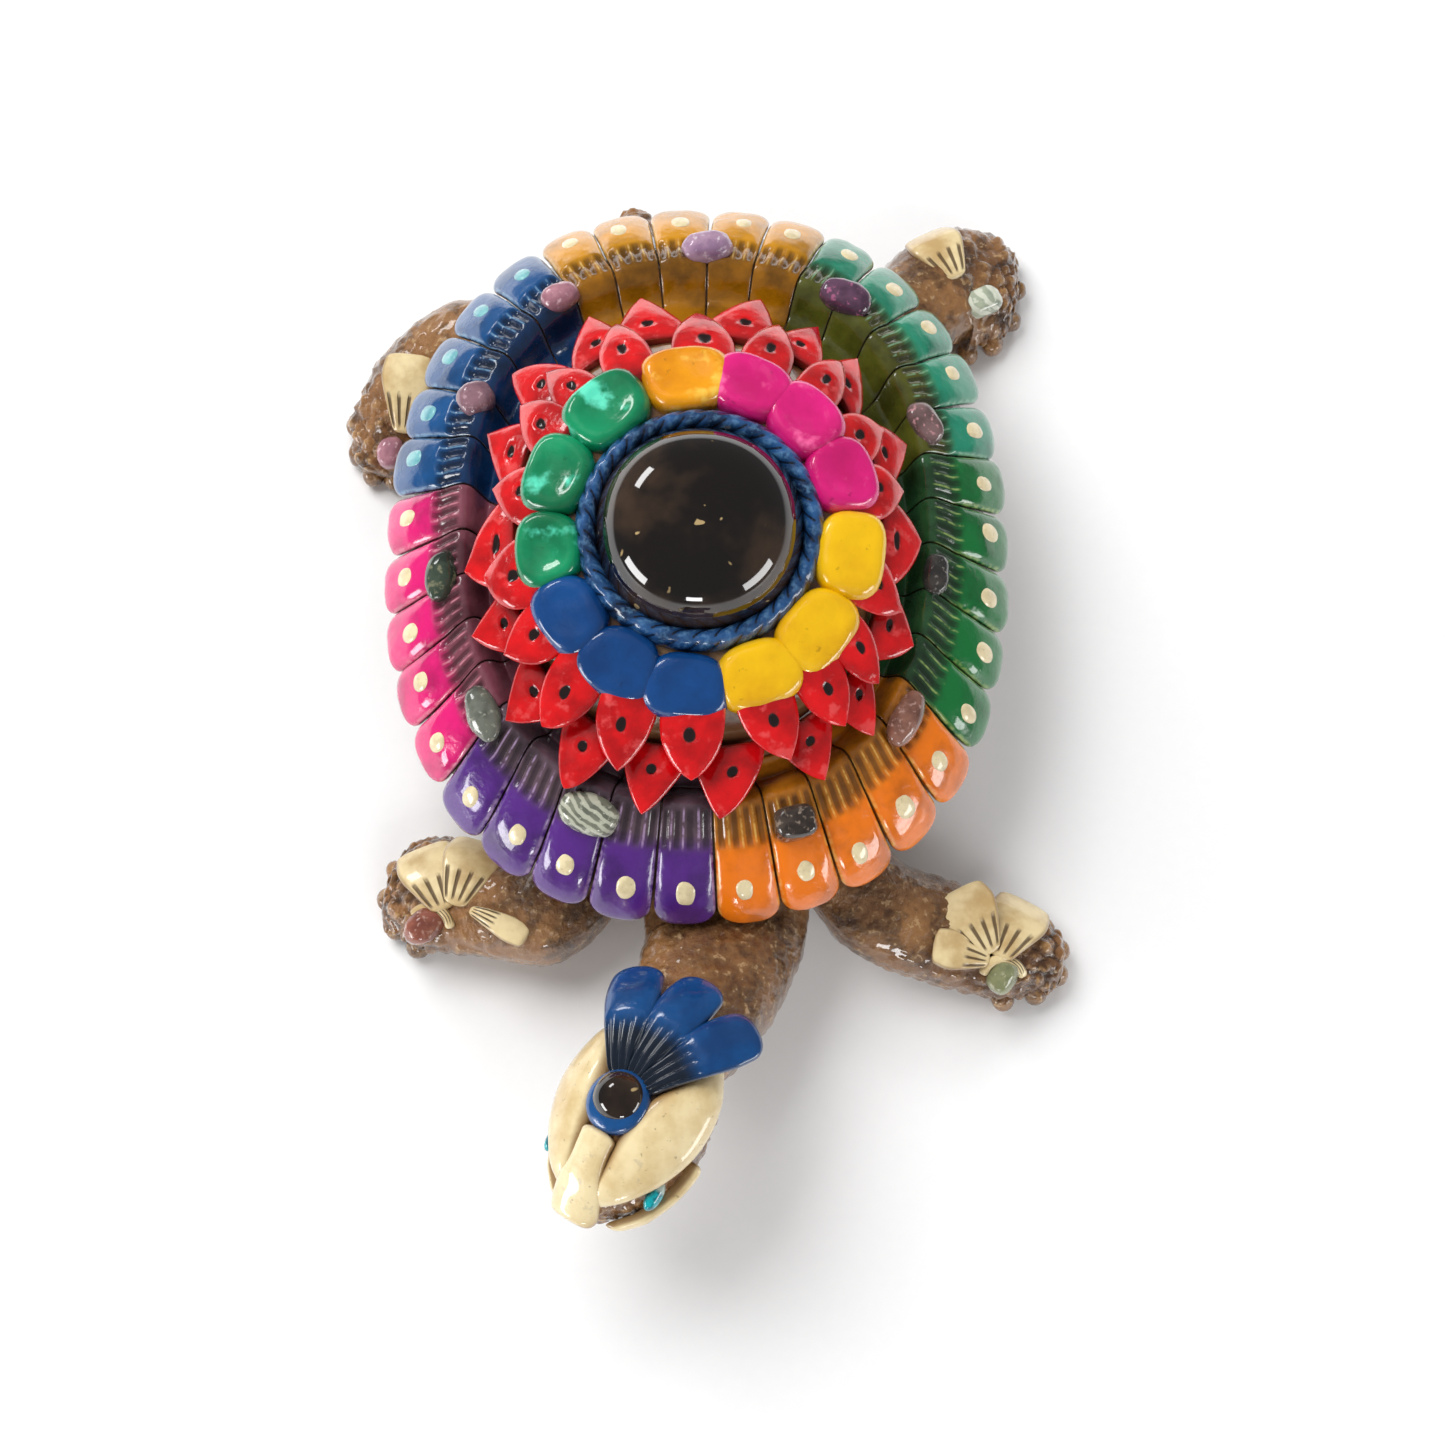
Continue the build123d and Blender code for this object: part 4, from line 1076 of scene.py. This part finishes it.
headAxes = [headTurn @ Vector(v) for v in ((1, 0, 0), (0, 1, 0), (0, 0, 1))]
creamPaint = creamGlaze()
place(skull(), "head", "brown_glaze", skinGlazed)
place(headPlate("leftBrowPlate", plates["brow"], 1, 3.0), "left_brow_plate", "cream_glaze", creamPaint)
place(headPlate("rightBrowPlate", plates["brow"], -1, 3.0), "right_brow_plate", "cream_glaze", creamPaint)
place(headPlate("noseRidge", plates["ridge"], 1, 3.8, blunt=0.30), "nose_ridge", "cream_glaze", creamPaint)
jaws = [headPlate("jaw", plates["jaw"], side, 2.6) for side in (1, -1)]
place(joined("jawPlates", jaws), "jaw_plates", "cream_glaze", creamPaint)
eyes = []
for side in (1, -1):
    spot = skullSurface(14.5, side * 76)
    out = (spot - onHead(14.5, 0, skullRow(14.5)[1])).normalized()
    up = headAxes[0].cross(out)
    eyes.append(lump("eye", spot, (headAxes[0], up, out), (4.2, 2.4, 1.9), segments=32, rings=20))
place(joined("eyes", eyes), "eyes", "turquoise_glass", glassEye())


def bezelCup():
    def shape(t, turn, point):
        r = math.sin(math.pi * t)
        wide = signed(r, 0.7) * head["bezelRadius"]
        z = math.cos(math.pi * t)
        height = signed(z, 0.8) * head["bezelRise"] * 0.62
        return onHead(math.cos(turn) * wide, math.sin(turn) * wide, height - 0.6), r, t
    return clayBall("foreheadBezel", shape, segments=56, rings=36)


place(bezelCup(), "forehead_bezel", "blue_glaze",
      clayGlaze("bezelGlaze", (0.004, 0.075, 0.25), (0.003, 0.04, 0.14), scale=90))
gem = lump("foreheadObsidian", onHead(-0.9, 0, 0.8), headAxes, (6.6, 6.9, 4.9),
           segments=48, rings=32, knock=0.03)
place(gem, "forehead_obsidian", "obsidian", obsidian)
crest = [crestFeather(a) for a in head["crestAngles"]]
place(joined("crestFeathers", crest), "crest_feathers", "blue_glaze", crestGlaze())
print("head done")


darkClay = clayGlaze("darkClay", (0.20, 0.095, 0.040), (0.09, 0.04, 0.018), (0.34, 0.20, 0.09), scale=45)
for node in ("carapace", "torso"):
    frame["nodes"][node].data.materials.clear()
    frame["nodes"][node].data.materials.append(darkClay)


clearSelection()
target = home + Vector((7, -43, 30)) * mm
view = {"lens": 62, "away": 0.690, "elevation": 73}
lift = math.radians(view["elevation"])
back = Vector((0, -math.cos(lift), math.sin(lift)))
bpy.ops.object.camera_add(location=target + back * view["away"])
camera = bpy.context.object
camera.rotation_euler = back.to_track_quat("Z", "Y").to_euler()
camera.data.lens = view["lens"]
camera.data.sensor_width = 36
camera.data.clip_start = 0.01
bpy.context.scene.camera = camera

bpy.ops.mesh.primitive_plane_add(size=6)
floor = bpy.context.object
floor.name = "floor"
floor.data.materials.append(floorFinish())

lights = [
    # name, place about the shell's middle, size, power, seen in the gloss
    ("keyLight", (-0.50, 0.40, 1.00), (0.90, 0.70), 12.5, False),
    ("leftWindow", (-0.90, -0.52, 0.22), (0.50, 0.22), 3.4, True),
    ("rightWindow", (0.85, -0.62, 0.22), (0.65, 0.22), 3.0, True),
    ("frontStrip", (-0.05, -0.75, 0.16), (0.14, 0.08), 0.5, True),
    ("highWindow", (-0.62, 0.62, 0.55), (0.30, 0.16), 1.3, True),
    ("backFill", (0.45, 0.90, 0.70), (0.60, 0.40), 4.0, False),
    ("frontFill", (0.30, -0.90, 0.75), (0.70, 0.40), 3.2, False),
]
for name, spot, size, power, glossy in lights:
    bpy.ops.object.light_add(type="AREA", location=home + Vector(spot))
    lamp = bpy.context.object
    lamp.name = name
    lamp.data.shape = "RECTANGLE"
    lamp.data.size, lamp.data.size_y = size
    lamp.data.energy = power
    lamp.visible_glossy = glossy
    lamp.rotation_euler = (lamp.location - home - Vector((0, 0, 0.05))).to_track_quat("Z", "Y").to_euler()

world = bpy.data.worlds.new("softRoom")
bpy.context.scene.world = world
world.use_nodes = True
world.node_tree.nodes["Background"].inputs["Color"].default_value = (1, 1, 1, 1)
world.node_tree.nodes["Background"].inputs["Strength"].default_value = 0.17
bpy.context.scene.view_settings.view_transform = "Standard"

print("scene done")
